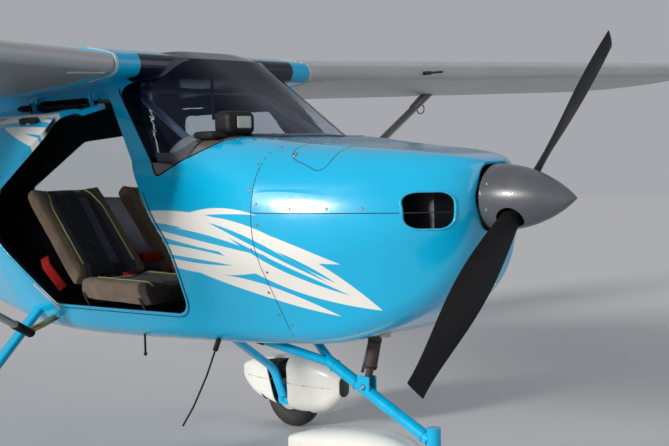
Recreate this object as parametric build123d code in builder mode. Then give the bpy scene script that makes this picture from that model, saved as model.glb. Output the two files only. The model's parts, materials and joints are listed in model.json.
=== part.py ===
from build123d import *
import os
from math import cos, radians, sin

# Two-seat strut-braced high-wing microlight aircraft on tricycle gear.
# Millimetres. +X is the nose, +Y the port side, +Z up; z = 0 is the ground under the wheels.
# Lengthways places are stations: millimetres aft of the spinner's tip.

# Overall
LENGTH = 6200
SPAN = 9450
HEIGHT = 2340
FIT = 0.3  # gap at a seat between pieces that touch
RUN = 6  # gap round a piece that moves
PIN_GAP = 0.1  # radial gap of a pin in its bore

# Propeller and spinner
THRUST_Z = 1363
SPINNER_LENGTH = 331
SPINNER_RADIUS = 121
SPINNER_SKIN = 5
SPINNER_NOSE = 10  # solid tip
BLADE_HOLE_R = 50
BACK_PLATE = 6
PROPELLER_STATION = 228
PROPELLER_RADIUS = 857
BLADE_ANGLE = 45.75  # of the upper blade, from upright towards port
HUB_RADIUS = 62
HUB_LENGTH = 78
HUB_NECK = 43
BLADE_SECTIONS = (
    # radius, chord, thickness, pitch angle
    (50, 62, 40, 46),
    (150, 84, 26, 38),
    (330, 124, 18, 29),
    (600, 118, 13, 18),
    (PROPELLER_RADIUS, 84, 8, 13),
)
BLADE_AXIS = (0, sin(radians(BLADE_ANGLE)), cos(radians(BLADE_ANGLE)))

# Fuselage
COWL_FRONT = SPINNER_LENGTH + 12
FIREWALL = 1060
CABIN_REAR = 2950
TAIL_END = 5848
COWL_SPLIT_Z = 1318
INTAKE = (268, 1325, 128, 128, 40)  # y, z, width, height, corner radius
INTAKE_DEPTH = 190
OUTLET = (935, 190, 230, 40)  # station, length, width, corner radius
OUTLET_TOP_Z = 970  # between the belly skin and the engine
COWL_WALL = 8
CABIN_WALL = 22
MIN_CORNER = 5
TAIL_WALL = 12
GLASS = 4
COWL_SECTIONS = (
    # station, belly_z, top_z, belly_half, waist_z, waist_half, top_half, belly_r, waist_r, top_r
    (COWL_FRONT, 1234, 1492, 84, 1363, 136, 84, 60, 90, 60),
    (400, 1083, 1513, 158, 1330, 262, 176, 100, 190, 110),
    (510, 968, 1531, 214, 1300, 356, 268, 120, 240, 150),
    (690, 868, 1549, 268, 1270, 450, 366, 130, 300, 190),
    (FIREWALL, 790, 1582, 320, 1235, 575, 492, 140, 400, 230),
)
CABIN_SECTIONS = (
    (FIREWALL, 790, 1582, 320, 1235, 575, 492, 140, 400, 230),
    (1300, 772, 1608, 340, 1225, 602, 520, 140, 400, 235),
    (1800, 745, 1622, 360, 1215, 618, 532, 140, 400, 220),
    (2350, 722, 1600, 372, 1205, 612, 530, 140, 400, 200),
    (CABIN_REAR, 742, 1560, 350, 1200, 575, 500, 140, 400, 180),
)
TAIL_SECTIONS = (
    (CABIN_REAR, 742, 1838, 350, 1200, 575, 448, 140, 300, 90),
    (3700, 830, 1700, 236, 1200, 400, 300, 110, 220, 90),
    (4800, 968, 1465, 116, 1200, 208, 150, 70, 120, 60),
    (TAIL_END, 1090, 1300, 34, 1195, 74, 42, 24, 40, 24),
)

# Canopy above the waist: windscreen, door frames and cabin sides, bent back over the wing's nose
CANOPY_LEVELS = (
    # level, front station, half width of the flat front, half width
    (1436, 985, 170, 557),
    (1958, 1798, 250, 456),
    (2004, 1950, 250, 440),
)
REACH = 700  # past the cabin's half width
BULKHEAD = 10
CANOPY_CHAMFER = 290  # aft reach of the slanted front quarters
CANOPY_FRONT_R = 280
CANOPY_SIDE_R = 240

# Door opening and windows, seen from the side: station, height, corner radius
DOOR_OUTLINE = (
    (1580, 884, 95),
    (1510, 1165, 160),
    (2000, 1786, 24),
    (2740, 1786, 60),
    (2890, 1200, 140),
    (2530, 862, 60),
)
DOOR_GLASS_OUTLINE = (
    (1704, 1330, 45),
    (2034, 1746, 30),
    (2698, 1746, 50),
    (2805, 1330, 60),
)
WINDSCREEN_OUTLINE = (
    # base, rounded lower rear corner, then the S of the rear edge up to the roof
    (1232, 1612, 12),
    (1300, 1604, 60),
    (1596, 1452, 34),
    (1962, 1838, 42),
    (1800, 1868, 50),
    (1806, 1955, 8),
    (1940, 1955, 5),
    (1940, 2030, 5),
    (1700, 2030, 10),
)
REAR_GLASS_OUTLINE = (
    (3000, 1310, 60),
    (3000, 1668, 30),
    (3440, 1628, 70),
    (3990, 1320, 30),
)
DOOR_HINGE_Y = 512
DOOR_HINGE_Z = 1790
DOOR_OPEN = 70
DOOR_HINGES = (2090, 2540)  # stations
DOOR_LUG_R = 9
DOOR_LUG_WIDTH = 14
DOOR_PIN_R = 4
DOOR_LUG_REACH = 36  # from the lug's outer side into the skin
DOOR_LUG_TALL = 22
DOOR_LUG_DROP = 7  # keeps the door's own lug under the roof's edge

# Wing
WING_STATION = 1840
WING_ROOT_Y = 517
WING_Z = 1918
CHORD = 1320
INCIDENCE = 3.4
DIHEDRAL = 2.2
NOSE_C = 40
NOSE_UP = 50
NOSE_DOWN = 32
CREST_C = 430
CREST_UP = 108
BELLY_C = 420
BELLY_DOWN = 46
TRAILING_EDGE = 8
HINGE_C = 985
HINGE_UP = 18
FLAP_NOSE_R = 49.5
HINGE_PIN_R = 6
HINGE_PIN_REACH = 14
PIN_END_GAP = 1
TIP_LENGTH = 150
TIP_SCALE = 0.72
TIP_SWEEP = 0.6
WING_LENGTH = (SPAN / 2 - WING_ROOT_Y) / cos(radians(DIHEDRAL))
FLAP_SPAN = (90, 2080)  # from the wing's root
AILERON_SPAN = (2130, 3880)
ROOT_COLLAR = 9  # the root fairing stands this proud of the wing
COLLAR_SPAN = 58
ROOT_GAP = 6  # from the root plane to the wing's first rib

# Struts: lower and upper ends on the port side
STRUT_LOW = (2590, 560, 735)
STRUT_HIGH = (2638, 2510, 1930)
STRUT_CHORD = 68
STRUT_THICK = 34

# Tail surfaces
RUDDER_HINGE = 5880
RUDDER_NOSE_R = 20
RUDDER_HEAD_NOSE_R = 16
RUDDER_FOOT_Z = 1130
RUDDER_FOOT_CHORD = LENGTH - RUDDER_HINGE
RUDDER_HEAD_CHORD = 250
RUDDER_LUG_Z = (1500, 2150)
RUDDER_LUG_R = 12
RUDDER_LUG_THICK = 10
RUDDER_PIN_R = 5
FIN_REAR = RUDDER_HINGE - RUDDER_NOSE_R - RUN
FIN_ROOT = (4960, 44)  # front station, thickness
FIN_TIP = (5560, 34)
FIN_BASE_Z = 1330
FIN_TOP_Z = HEIGHT - 30
ELEVATOR_HINGE = 5630
ELEVATOR_NOSE_R = 20
ELEVATOR_TIP_NOSE_R = 16
ELEVATOR_CHORD = 300
ELEVATOR_TIP_CHORD = 250
ELEVATOR_INNER = 112
TORQUE_TUBE_R = 11
TAILPLANE_Z = 1225
TAILPLANE_FRONT = 5120
TAILPLANE_TIP_FRONT = 5320
TAILPLANE_REAR = ELEVATOR_HINGE - ELEVATOR_NOSE_R - RUN
TAILPLANE_HALF = 1300
TAILPLANE_THICK = 46
TAILPLANE_TIP_THICK = 36
TAIL_EDGE = 4

# Wheels and spats
MAIN_WHEEL = (2540, 1100)  # station, half track
MAIN_WHEEL_RADIUS = 190
MAIN_WHEEL_WIDTH = 112
NOSE_WHEEL = 935
NOSE_WHEEL_RADIUS = 185
NOSE_WHEEL_WIDTH = 96
TYRE_SHOULDER = (0.55, 0.97)  # share of the half width, share of the radius
TYRE_BULGE = 0.78  # share of the radius where the tyre is widest
RIM_SHARE = 0.46  # of the wheel's radius
RIM_EDGE = 0.72  # share of the half width
RIM_LIP = (0.5, 0.94)  # share of the half width, share of the rim's radius
RIM_WEB = (0.3, 0.5)
RIM_HUB = (0.62, 0.42)
SPAT_WALL = 6
AXLE_RADIUS = 12
NOSE_SPAT_SECTIONS = (
    # station, low z, high z, half width, corner radius
    (706, 196, 344, 54, 48),
    (800, 108, 398, 90, 66),
    (980, 90, 412, 94, 74),
    (1200, 112, 386, 74, 60),
    (1436, 236, 324, 20, 18),
)
MAIN_SPAT_SECTIONS = (
    # station, low z, high z, half width, corner radius
    (2150, 206, 330, 44, 40),
    (2262, 122, 396, 86, 66),
    (2470, 98, 414, 97, 74),
    (2700, 122, 390, 78, 60),
    (2936, 236, 318, 20, 18),
)
SPAT_MOUTH_Z = 205
SPAT_MOUTH_HALF = 72
SPAT_NOTCH = (
    # station, height: the opening for the leg in the inner side
    (2504, 430),
    (2716, 430),
    (2606, 126),
    (2494, 126),
)

# Main legs: route on the port side, from the fuselage's lower corner to the axle
LEG_ROUTE = (
    # station, y, z
    (2745, 380, 840),
    (2596, 1004, 330),
    (2548, 1022, 176),
)
LEG_BEND = 110
MAIN_AXLE_OUT = 92
LEG_PLATE = 118
LEG_PLATE_THICK = 6
LEG_PLATE_CORNER = 18
LEG_PLATE_HOLES = (42, 6, 5)  # circle radius, count, hole radius
LEG_CHORD = 72
LEG_THICK = 30

# Nose gear
ARM_TUBE = 25
PRONG_TUBE = 19
HEAD_STATION = 648
HEAD_LOW = 372
HEAD_HIGH = 462
ARM_FORK = (1184, 0, 663)
ARM_HEAD = (668, 0, 419)
ARM_TOP = (1500, 165, 770)
HEAD_RADIUS = 28
KING_PIN = 16
SHOCK_LOW = (990, 0, 588)
SHOCK_HIGH = (875, 0, 1062)
SHOCK_RADIUS = 27
SHOCK_ROD = 15
SHOCK_BODY = (80, 400)  # along the shock from its lower eye
GUSSET_HEIGHT = 62
GUSSET_Y = 21
GUSSET_THICK = 6
SHOCK_BOLT_R = 7
HEAD_CAP = 8
FORK_PLATE = 14
FORK_CROWN_Z = 338
FORK_CROWN_THICK = 26
NOSE_AXLE_HALF = 90

# Engine block and exhaust
ENGINE_FRONT = 470
ENGINE_REAR = 960
ENGINE_HALF = 200
ENGINE_LOW = 1050
ENGINE_HIGH = 1420
SHAFT_RADIUS = 32
MOUNT_TUBE = 14
EXHAUST = (757, -150, 862)
EXHAUST_PIPE_R = 19
EXHAUST_RADIUS = 22
EXHAUST_SLEEVE = 60
EXHAUST_OUT = 30
EXHAUST_BORE = (17, 40)  # radius, depth

# Cabin
FLOOR_Z = 700  # below the cabin floor everywhere
SEAT_Y = 262
SEAT_WIDTH = 440
SEAT_OUTLINE = (
    # station, height, corner radius
    (1812, 1012, 45),
    (1812, 908, 30),
    (2400, 872, 60),
    (2812, 1400, 45),
    (2722, 1446, 45),
    (2300, 1004, 60),
)
SEAT_BASE_FRONT = 1900
SEAT_BASE_REAR = 2300
SEAT_BASE_WALL = 16
SEAT_BASE_TOP = 930
PANEL_STATION = 1548
PANEL_FOOT_Z = 1190
PANEL_THICK = 26
SHELF_THICK = 4
FRAME_TUBE = 16
FRAME_TOP = (2060, 362, 1868)
FRAME_FOOT = (1510, 410, 1560)
FRAME_CROSS = (1990, 366, 1829)
FRAME_CROSS_TUBE = 12
STICK_FOOT = (1830, 0, FLOOR_Z)
STICK_KNEE = (1815, 0, 900)
STICK_TOP = (1770, 0, 1110)
STICK_RADIUS = 11
STICK_UPPER_R = 10
STICK_KNEE_R = 12
GRIP_RADIUS = 18
GRIP_LENGTH = 120

# Air data and aerials
PITOT_ALONG = 930  # out along the wing from its root
PITOT_LENGTH = 125
PITOT_RADIUS = 6
PITOT_HOLDER = 45  # out of the wing's nose
PITOT_HOLDER_R = 10
PITOT_ROOT = 30  # inside the wing
WHIP_ROUTE = (
    # station, y, z
    (1490, -350, 780),
    (1560, -362, 620),
    (1640, -372, 480),
    (1706, -378, 392),
)
WHIP_RADIUS = 4
WHIP_BEND = 300
WHIP_BOOT_R = 11
WHIP_BOOT_END = 0.3  # share of the first run
STUB_FOOT = (1985, -352, 840)
STUB_TIP_Z = 668
STUB_RADIUS = 5
STUB_BALL_R = 8.5


def x_at(station):
    """X of a place that lies this far aft of the spinner's tip."""
    return LENGTH / 2 - station


def point(place):
    """A (station, y, z) place as X, Y, Z."""
    return (x_at(place[0]), place[1], place[2])


def body_section(row, inset):
    """Closed six-cornered outline across the fuselage, rounded, drawn at its own station."""
    station, belly_z, top_z, belly_half, waist_z, waist_half, top_half, belly_r, waist_r, top_r = row
    corners = (
        (belly_half - inset / 2, belly_z + inset),
        (waist_half - inset, waist_z),
        (top_half - inset / 2, top_z - inset),
    )
    port = list(corners)
    starboard = [(-y, z) for y, z in reversed(corners)]
    radii = [max(r - inset, MIN_CORNER) for r in (belly_r, waist_r, top_r)]
    plane = Plane(origin=(x_at(station), 0, 0), x_dir=(0, 1, 0), z_dir=(1, 0, 0))
    with BuildSketch(plane) as outline:
        with BuildLine():
            FilletPolyline(*(port + starboard), radius=radii + radii[::-1], close=True)
        make_face()
    return outline.sketch


def body(rows, inset=0):
    """Fuselage length lofted through its table of sections."""
    with BuildPart() as solid:
        loft(sections=[body_section(row, inset) for row in rows])
    return solid.part


def canopy(inset=0):
    """Tapered upper body with the wrapped windscreen, lofted upward, cut off at the firewall."""
    outlines = []
    for level, front, flat_half, half in CANOPY_LEVELS:
        corners = (
            (x_at(front + inset * 1.5), flat_half - inset / 2),
            (x_at(front + CANOPY_CHAMFER + inset), half - inset),
            (x_at(CABIN_REAR), half - inset),
        )
        mirrored = [(x, -y) for x, y in reversed(corners)]
        radii = (CANOPY_FRONT_R, CANOPY_SIDE_R, 0)
        with BuildSketch(Plane.XY.offset(level)) as outline:
            with BuildLine():
                FilletPolyline(*(list(corners) + mirrored), radius=radii + radii[::-1], close=True)
            make_face()
        outlines.append(outline.sketch)
    with BuildPart() as solid:
        loft(sections=outlines, ruled=True)
        split(bisect_by=Plane(origin=(x_at(FIREWALL), 0, 0), z_dir=(-1, 0, 0)), keep=Keep.TOP)
    return solid.part


def side_prism(outline, y_low, y_high, grow=0):
    """Prism with a rounded outline seen from the side, between two values of Y."""
    with BuildPart() as prism:
        with BuildSketch(Plane(origin=(0, y_low, 0), x_dir=(1, 0, 0), z_dir=(0, 1, 0))):
            with BuildLine():
                corners = [(x_at(station), -z) for station, z, _ in outline]
                FilletPolyline(*corners, radius=[r for _, _, r in outline], close=True)
            make_face()
            if grow:
                offset(amount=grow)
        extrude(amount=y_high - y_low)
    return prism.part


def airfoil(grow=0):
    """Flat-bottomed wing section, nose at the origin, chord along local +X, up along +Y."""
    with BuildSketch() as profile:
        with BuildLine():
            nose = ThreePointArc((NOSE_C, NOSE_UP), (0, 0), (NOSE_C, -NOSE_DOWN))
            under = ThreePointArc(nose @ 1, (BELLY_C, -BELLY_DOWN), (CHORD, -TRAILING_EDGE / 2))
            edge = Line(under @ 1, (CHORD, TRAILING_EDGE / 2))
            rear = TangentArc((CREST_C, CREST_UP), edge @ 1, tangent=(1, 0))
            TangentArc(rear @ 0, nose @ 0, tangent=(-1, 0))
        make_face()
        if grow:
            offset(amount=grow)
    return profile.sketch


def chord_direction(lean):
    """Unit vector from the wing's nose to its trailing edge, nose up by the incidence."""
    drop = sin(radians(INCIDENCE))
    return (-cos(radians(INCIDENCE)), drop * sin(radians(lean)), -drop * cos(radians(lean)))


def wing_plane(along=0):
    """Plane across the port wing, a distance out from its root, leaning with the dihedral."""
    out = (0, cos(radians(DIHEDRAL)), sin(radians(DIHEDRAL)))
    origin = (
        x_at(WING_STATION),
        WING_ROOT_Y + along * out[1],
        WING_Z + along * out[2],
    )
    return Plane(origin=origin, x_dir=chord_direction(DIHEDRAL), z_dir=out)


def control_zone(clearance):
    """Section of a flap or aileron: what lies behind the hinge, with its round nose."""
    with BuildSketch() as zone:
        with Locations((HINGE_C, HINGE_UP)):
            Circle(FLAP_NOSE_R + clearance)
        with Locations((HINGE_C, -CHORD / 2)):
            Rectangle(CHORD, CHORD, align=(Align.MIN, Align.MIN))
    return zone.sketch


def hinge_pins(span, radius, end_gap=0):
    """Round bar along the hinge of a flap or aileron, into the rib at each end."""
    reach = RUN + HINGE_PIN_REACH + end_gap
    with BuildPart() as pins:
        with BuildSketch(wing_plane(span[0] - reach)):
            with Locations((HINGE_C, HINGE_UP)):
                Circle(radius)
        extrude(amount=span[1] - span[0] + 2 * reach)
    return pins.part


def control_surface(span):
    """Flap or aileron on the port wing, between two distances from the root."""
    with BuildPart() as surface:
        with BuildSketch(wing_plane(span[0])):
            add(airfoil())
            add(control_zone(0), mode=Mode.INTERSECT)
        extrude(amount=span[1] - span[0])
        add(hinge_pins(span, HINGE_PIN_R))
    return surface.part


def fixed_section(width, thickness):
    """Fin or tailplane section: nose at the origin, chord along local +X, flat rear face."""
    with BuildSketch() as section:
        with BuildLine():
            TangentArc((width, thickness / 2), (0, 0), tangent=(-1, 0))
            Line((width, thickness / 2), (width, -thickness / 2))
            TangentArc((width, -thickness / 2), (0, 0), tangent=(-1, 0))
        make_face()
    return section.sketch


def moving_section(width, nose):
    """Rudder or elevator section: round nose about the hinge at the origin, thin rear edge."""
    with BuildSketch() as section:
        with BuildLine():
            front = ThreePointArc((0, nose), (-nose, 0), (0, -nose))
            Polyline(front @ 1, (width, -TAIL_EDGE / 2), (width, TAIL_EDGE / 2), front @ 0)
        make_face()
    return section.sketch


def upright_surface(foot, head):
    """Fin or rudder lofted between two (station, z, section) levels."""
    with BuildPart() as surface:
        for station, z, section in (foot, head):
            with BuildSketch(Plane(origin=(x_at(station), 0, z), x_dir=(-1, 0, 0), z_dir=(0, 0, 1))):
                add(section)
        loft(ruled=True)
    return surface.part


def level_surface(root, tip):
    """Tailplane or elevator lofted from the centre to each tip: (station, y, section) each."""
    with BuildPart() as surface:
        for side in (1, -1):
            for station, y, section in (root, tip):
                plane = Plane(origin=(x_at(station), side * y, TAILPLANE_Z), x_dir=(-1, 0, 0),
                              z_dir=(0, 1, 0))
                with BuildSketch(plane):
                    add(section)
            loft(ruled=True)
    return surface.part


def tube(start, end, radius):
    """Round bar between two (station, y, z) places."""
    run = Vector(point(end)) - Vector(point(start))
    with BuildPart() as bar:
        with BuildSketch(Plane(origin=point(start), z_dir=run)):
            Circle(radius)
        extrude(amount=run.length)
    return bar.part


def wheel(station, y, radius, width):
    """Tyre on its rim with dished sides and a bore for the axle."""
    rim = radius * RIM_SHARE
    half = width / 2
    with BuildPart() as solid:
        with BuildSketch(Plane(origin=(x_at(station), y, radius), x_dir=(0, 1, 0), z_dir=(1, 0, 0))):
            with BuildLine():
                shoulder = (half * TYRE_SHOULDER[0], radius * TYRE_SHOULDER[1])
                bulge = radius * TYRE_BULGE
                lip = (half * RIM_LIP[0], rim * RIM_LIP[1])
                web = (half * RIM_WEB[0], rim * RIM_WEB[1])
                hub = (half * RIM_HUB[0], rim * RIM_HUB[1])
                bore = AXLE_RADIUS + FIT
                tread = ThreePointArc((-shoulder[0], shoulder[1]), (0, radius), shoulder)
                right = ThreePointArc(tread @ 1, (half, bulge), (half * RIM_EDGE, rim))
                disc = Polyline(right @ 1, lip, web, hub, (hub[0], bore), (-hub[0], bore), (-hub[0], hub[1]),
                                (-web[0], web[1]), (-lip[0], lip[1]), (-half * RIM_EDGE, rim))
                ThreePointArc(disc @ 1, (-half, bulge), tread @ 0)
            make_face()
        revolve(axis=Axis((x_at(station), y, radius), (0, 1, 0)))
    return solid.part


def pod(rows, y, inset=0):
    """Streamlined pod lofted through rounded upright sections about a value of Y."""
    with BuildPart() as solid:
        cuts = []
        for station, low, high, half, corner in rows:
            plane = Plane(origin=(x_at(station), y, (low + high) / 2), x_dir=(0, 1, 0), z_dir=(1, 0, 0))
            with BuildSketch(plane) as cut:
                RectangleRounded(2 * (half - inset), high - low - 2 * inset,
                                 max(corner - inset, MIN_CORNER))
            cuts.append(cut.sketch)
        loft(sections=cuts)
    return solid.part


def glare_shield_block(hull_solid):
    """The hull ahead of the panel: here its top skin runs on under the windscreen."""
    with BuildPart() as block:
        add(hull_solid)
        with Locations((x_at(PANEL_STATION), 0, THRUST_Z)):
            Box(PANEL_STATION, 2 * REACH, 2 * REACH, align=(Align.MIN, Align.CENTER, Align.CENTER),
                mode=Mode.INTERSECT)
    return block.part


def door_lugs(station, side, fixed):
    """Hinge lug of a closed door, or the two fixed lugs and the pin that hold it."""
    centre = (x_at(station), side * DOOR_HINGE_Y, DOOR_HINGE_Z)
    across = DOOR_LUG_WIDTH + 2 * FIT
    places = [(DOOR_LUG_WIDTH + across) / 2 * end for end in (1, -1)] if fixed else [0]
    with BuildPart() as lugs:
        for shift in places:
            with Locations(Location((centre[0] + shift, centre[1], centre[2]), (0, 90, 0))):
                Cylinder(DOOR_LUG_R, DOOR_LUG_WIDTH)
            drop = 0 if fixed else DOOR_LUG_DROP
            with Locations((centre[0] + shift, centre[1] + side * DOOR_LUG_R, centre[2] - drop)):
                Box(DOOR_LUG_WIDTH, DOOR_LUG_REACH, DOOR_LUG_TALL,
                    align=(Align.CENTER, Align.MAX if side > 0 else Align.MIN,
                           Align.MIN if fixed else Align.MAX))
        with Locations(Location(centre, (0, 90, 0))):
            if fixed:
                Cylinder(DOOR_PIN_R, 3 * DOOR_LUG_WIDTH)
            else:
                Cylinder(DOOR_PIN_R + PIN_GAP, 2 * DOOR_LUG_WIDTH, mode=Mode.SUBTRACT)
    return lugs.part


def save(part, name):
    part.label = name
    export_step(part, f"parts/{name}.step")


def save_pair(port, name):
    """A piece of the port side and its mirror image."""
    save(port, f"{name}_left")
    save(mirror(port, about=Plane.XZ), f"{name}_right")


os.makedirs("parts", exist_ok=True)

# Cowling: a lofted nose bowl, split at the seam, open at the spinner, intakes and outlet
with BuildPart() as cowl:
    add(body(COWL_SECTIONS))
    add(body(COWL_SECTIONS, COWL_WALL), mode=Mode.SUBTRACT)
    with BuildSketch(Plane(origin=(x_at(0), 0, 0), x_dir=(0, 1, 0), z_dir=(-1, 0, 0))):
        with Locations((0, -THRUST_Z)):
            Circle(HUB_RADIUS + RUN)
    extrude(amount=COWL_FRONT + COWL_WALL * 2, mode=Mode.SUBTRACT)
    with BuildSketch(Plane(origin=(x_at(COWL_FRONT), 0, 0), x_dir=(0, 1, 0), z_dir=(-1, 0, 0))):
        for side in (1, -1):
            with Locations((side * INTAKE[0], -INTAKE[1])):
                RectangleRounded(INTAKE[2], INTAKE[3], INTAKE[4])
    extrude(amount=INTAKE_DEPTH, mode=Mode.SUBTRACT)
    with BuildSketch(Plane.XY.offset(OUTLET_TOP_Z)):
        with Locations((x_at(OUTLET[0]), 0)):
            RectangleRounded(OUTLET[1], OUTLET[2], OUTLET[3])
        with Locations((x_at(EXHAUST[0]), EXHAUST[1])):
            Circle(EXHAUST_RADIUS + RUN)
    extrude(amount=-OUTLET_TOP_Z, mode=Mode.SUBTRACT)

with BuildPart() as cowl_upper:
    add(cowl.part)
    split(bisect_by=Plane.XY.offset(COWL_SPLIT_Z), keep=Keep.TOP)
save(cowl_upper.part, "cowl_upper")

with BuildPart() as cowl_lower:
    add(cowl.part)
    split(bisect_by=Plane.XY.offset(COWL_SPLIT_Z), keep=Keep.BOTTOM)
save(cowl_lower.part, "cowl_lower")

# Wings with coves for flap and aileron, and a drawn-in tip
with BuildPart() as wing_left:
    with BuildSketch(wing_plane(ROOT_GAP)):
        add(airfoil())
    extrude(amount=WING_LENGTH - TIP_LENGTH - ROOT_GAP)
    for along, shrink in ((WING_LENGTH - TIP_LENGTH, 1), (WING_LENGTH, TIP_SCALE)):
        with BuildSketch(wing_plane(along)):
            add(airfoil().scale(shrink).moved(Location((CHORD * (1 - shrink) * TIP_SWEEP, 0))))
    loft(ruled=True)
    for span in (FLAP_SPAN, AILERON_SPAN):
        with BuildSketch(wing_plane(span[0] - RUN)):
            add(control_zone(RUN))
        extrude(amount=span[1] - span[0] + 2 * RUN, mode=Mode.SUBTRACT)
        add(hinge_pins(span, HINGE_PIN_R + PIN_GAP, PIN_END_GAP), mode=Mode.SUBTRACT)
save_pair(wing_left.part, "wing")
save_pair(control_surface(FLAP_SPAN), "flap")
save_pair(control_surface(AILERON_SPAN), "aileron")

# Wing centre section over the cabin, with the collars that wrap the wing roots
with BuildPart() as centre_section:
    with BuildSketch(Plane(origin=(x_at(WING_STATION), 0, WING_Z), x_dir=chord_direction(0),
                           z_dir=(0, 1, 0))):
        add(airfoil(ROOT_COLLAR))
    extrude(amount=WING_ROOT_Y + COLLAR_SPAN, both=True)
    add(wing_left.part, mode=Mode.SUBTRACT)
    add(mirror(wing_left.part, about=Plane.XZ), mode=Mode.SUBTRACT)
save(centre_section.part, "centre_section")

# Cabin shell: hull and canopy united, hollowed, cut for doors and windscreen
hull = body(CABIN_SECTIONS)
hull_inner = body(CABIN_SECTIONS, CABIN_WALL)
with BuildPart() as cabin_outer:
    add(hull)
    add(canopy())
    add(centre_section.part, mode=Mode.SUBTRACT)

with BuildPart() as canopy_inner:
    add(canopy(CABIN_WALL))
    add(glare_shield_block(hull), mode=Mode.SUBTRACT)

with BuildPart() as cabin_inner:
    add(hull_inner)
    add(canopy_inner.part)

with BuildPart() as cabin_wall:
    add(cabin_outer.part)
    add(cabin_inner.part, mode=Mode.SUBTRACT)
    with Locations((x_at(FIREWALL), 0, THRUST_Z)):
        Box(BULKHEAD, 2 * REACH, 2 * REACH, align=(Align.MAX, Align.CENTER, Align.CENTER))
    add(cabin_outer.part, mode=Mode.INTERSECT)

with BuildPart() as windscreen_zone:
    add(side_prism(WINDSCREEN_OUTLINE, -REACH, REACH))
    add(hull, mode=Mode.SUBTRACT)

with BuildPart() as cabin_shell:
    add(cabin_wall.part.solids().sort_by(SortBy.VOLUME)[-1])
    add(windscreen_zone.part, mode=Mode.SUBTRACT)
    add(side_prism(DOOR_OUTLINE, -REACH, REACH), mode=Mode.SUBTRACT)
    for side in (1, -1):
        for station in DOOR_HINGES:
            add(door_lugs(station, side, fixed=True))
save(Part([cabin_shell.part.solids().sort_by(SortBy.VOLUME)[-1]]), "cabin_shell")

# Glass skins follow the outer surface
with BuildPart() as glass_skin:
    add(canopy())
    add(canopy(GLASS), mode=Mode.SUBTRACT)
    add(centre_section.part, mode=Mode.SUBTRACT)

with BuildPart() as windscreen:
    add(glass_skin.part)
    add(windscreen_zone.part, mode=Mode.INTERSECT)
save(windscreen.part, "windscreen")

# Doors: panels cut from the same wall, hung on the roof side
door_glass_zone = side_prism(DOOR_GLASS_OUTLINE, 0, REACH)
with BuildPart() as door_left:
    add(cabin_wall.part)
    add(side_prism(DOOR_OUTLINE, 0, REACH, grow=-RUN), mode=Mode.INTERSECT)
    add(door_glass_zone, mode=Mode.SUBTRACT)
    for station in DOOR_HINGES:
        add(door_lugs(station, 1, fixed=False))
save(door_left.part, "door_left")

with BuildPart() as door_glass_left:
    add(glass_skin.part)
    add(door_glass_zone, mode=Mode.INTERSECT)
save(door_glass_left.part, "door_glass_left")

door_hinge = Axis((0, -DOOR_HINGE_Y, DOOR_HINGE_Z), (1, 0, 0))
for closed, name in ((door_left, "door_right"), (door_glass_left, "door_glass_right")):
    save(mirror(closed.part, about=Plane.XZ).rotate(door_hinge, -DOOR_OPEN), name)

# Tail cone, with a rear window in each side
tail_hull = body(TAIL_SECTIONS)
with BuildPart() as tail_cone:
    add(tail_hull)
    add(body(TAIL_SECTIONS, TAIL_WALL), mode=Mode.SUBTRACT)
    add(centre_section.part, mode=Mode.SUBTRACT)
    add(side_prism(REAR_GLASS_OUTLINE, -REACH, REACH), mode=Mode.SUBTRACT)
    with Locations(Location((x_at(ELEVATOR_HINGE), 0, TAILPLANE_Z), (90, 0, 0))):
        Cylinder(TORQUE_TUBE_R + PIN_GAP, TAILPLANE_HALF, mode=Mode.SUBTRACT)
save(tail_cone.part, "tail_cone")

with BuildPart() as rear_window:
    add(tail_hull)
    add(body(TAIL_SECTIONS, GLASS), mode=Mode.SUBTRACT)
    add(side_prism(REAR_GLASS_OUTLINE, 0, REACH), mode=Mode.INTERSECT)
save_pair(rear_window.part, "rear_window")

# Lift struts
strut_run = Vector(point(STRUT_HIGH)) - Vector(point(STRUT_LOW))
with BuildPart() as strut:
    with BuildSketch(Plane(origin=point(STRUT_LOW), x_dir=(1, 0, 0), z_dir=strut_run)):
        Ellipse(STRUT_CHORD / 2, STRUT_THICK / 2)
    extrude(amount=strut_run.length)
    add(wing_left.part, mode=Mode.SUBTRACT)
    add(hull, mode=Mode.SUBTRACT)
save_pair(strut.part, "strut")

# Fin and rudder, hung on two lugs
with BuildPart() as fin:
    add(upright_surface((FIN_ROOT[0], FIN_BASE_Z, fixed_section(FIN_REAR - FIN_ROOT[0], FIN_ROOT[1])),
                        (FIN_TIP[0], FIN_TOP_Z, fixed_section(FIN_REAR - FIN_TIP[0], FIN_TIP[1]))))
    add(tail_hull, mode=Mode.SUBTRACT)
    for z in RUDDER_LUG_Z:
        with Locations((x_at(RUDDER_HINGE), 0, z)):
            Cylinder(RUDDER_LUG_R, RUDDER_LUG_THICK)
            Box(RUDDER_HINGE - FIN_REAR + RUN, 2 * RUDDER_LUG_R, RUDDER_LUG_THICK,
                align=(Align.MIN, Align.CENTER, Align.CENTER))
            Cylinder(RUDDER_PIN_R + PIN_GAP, 2 * RUDDER_LUG_THICK, mode=Mode.SUBTRACT)
save(fin.part, "fin")

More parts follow.
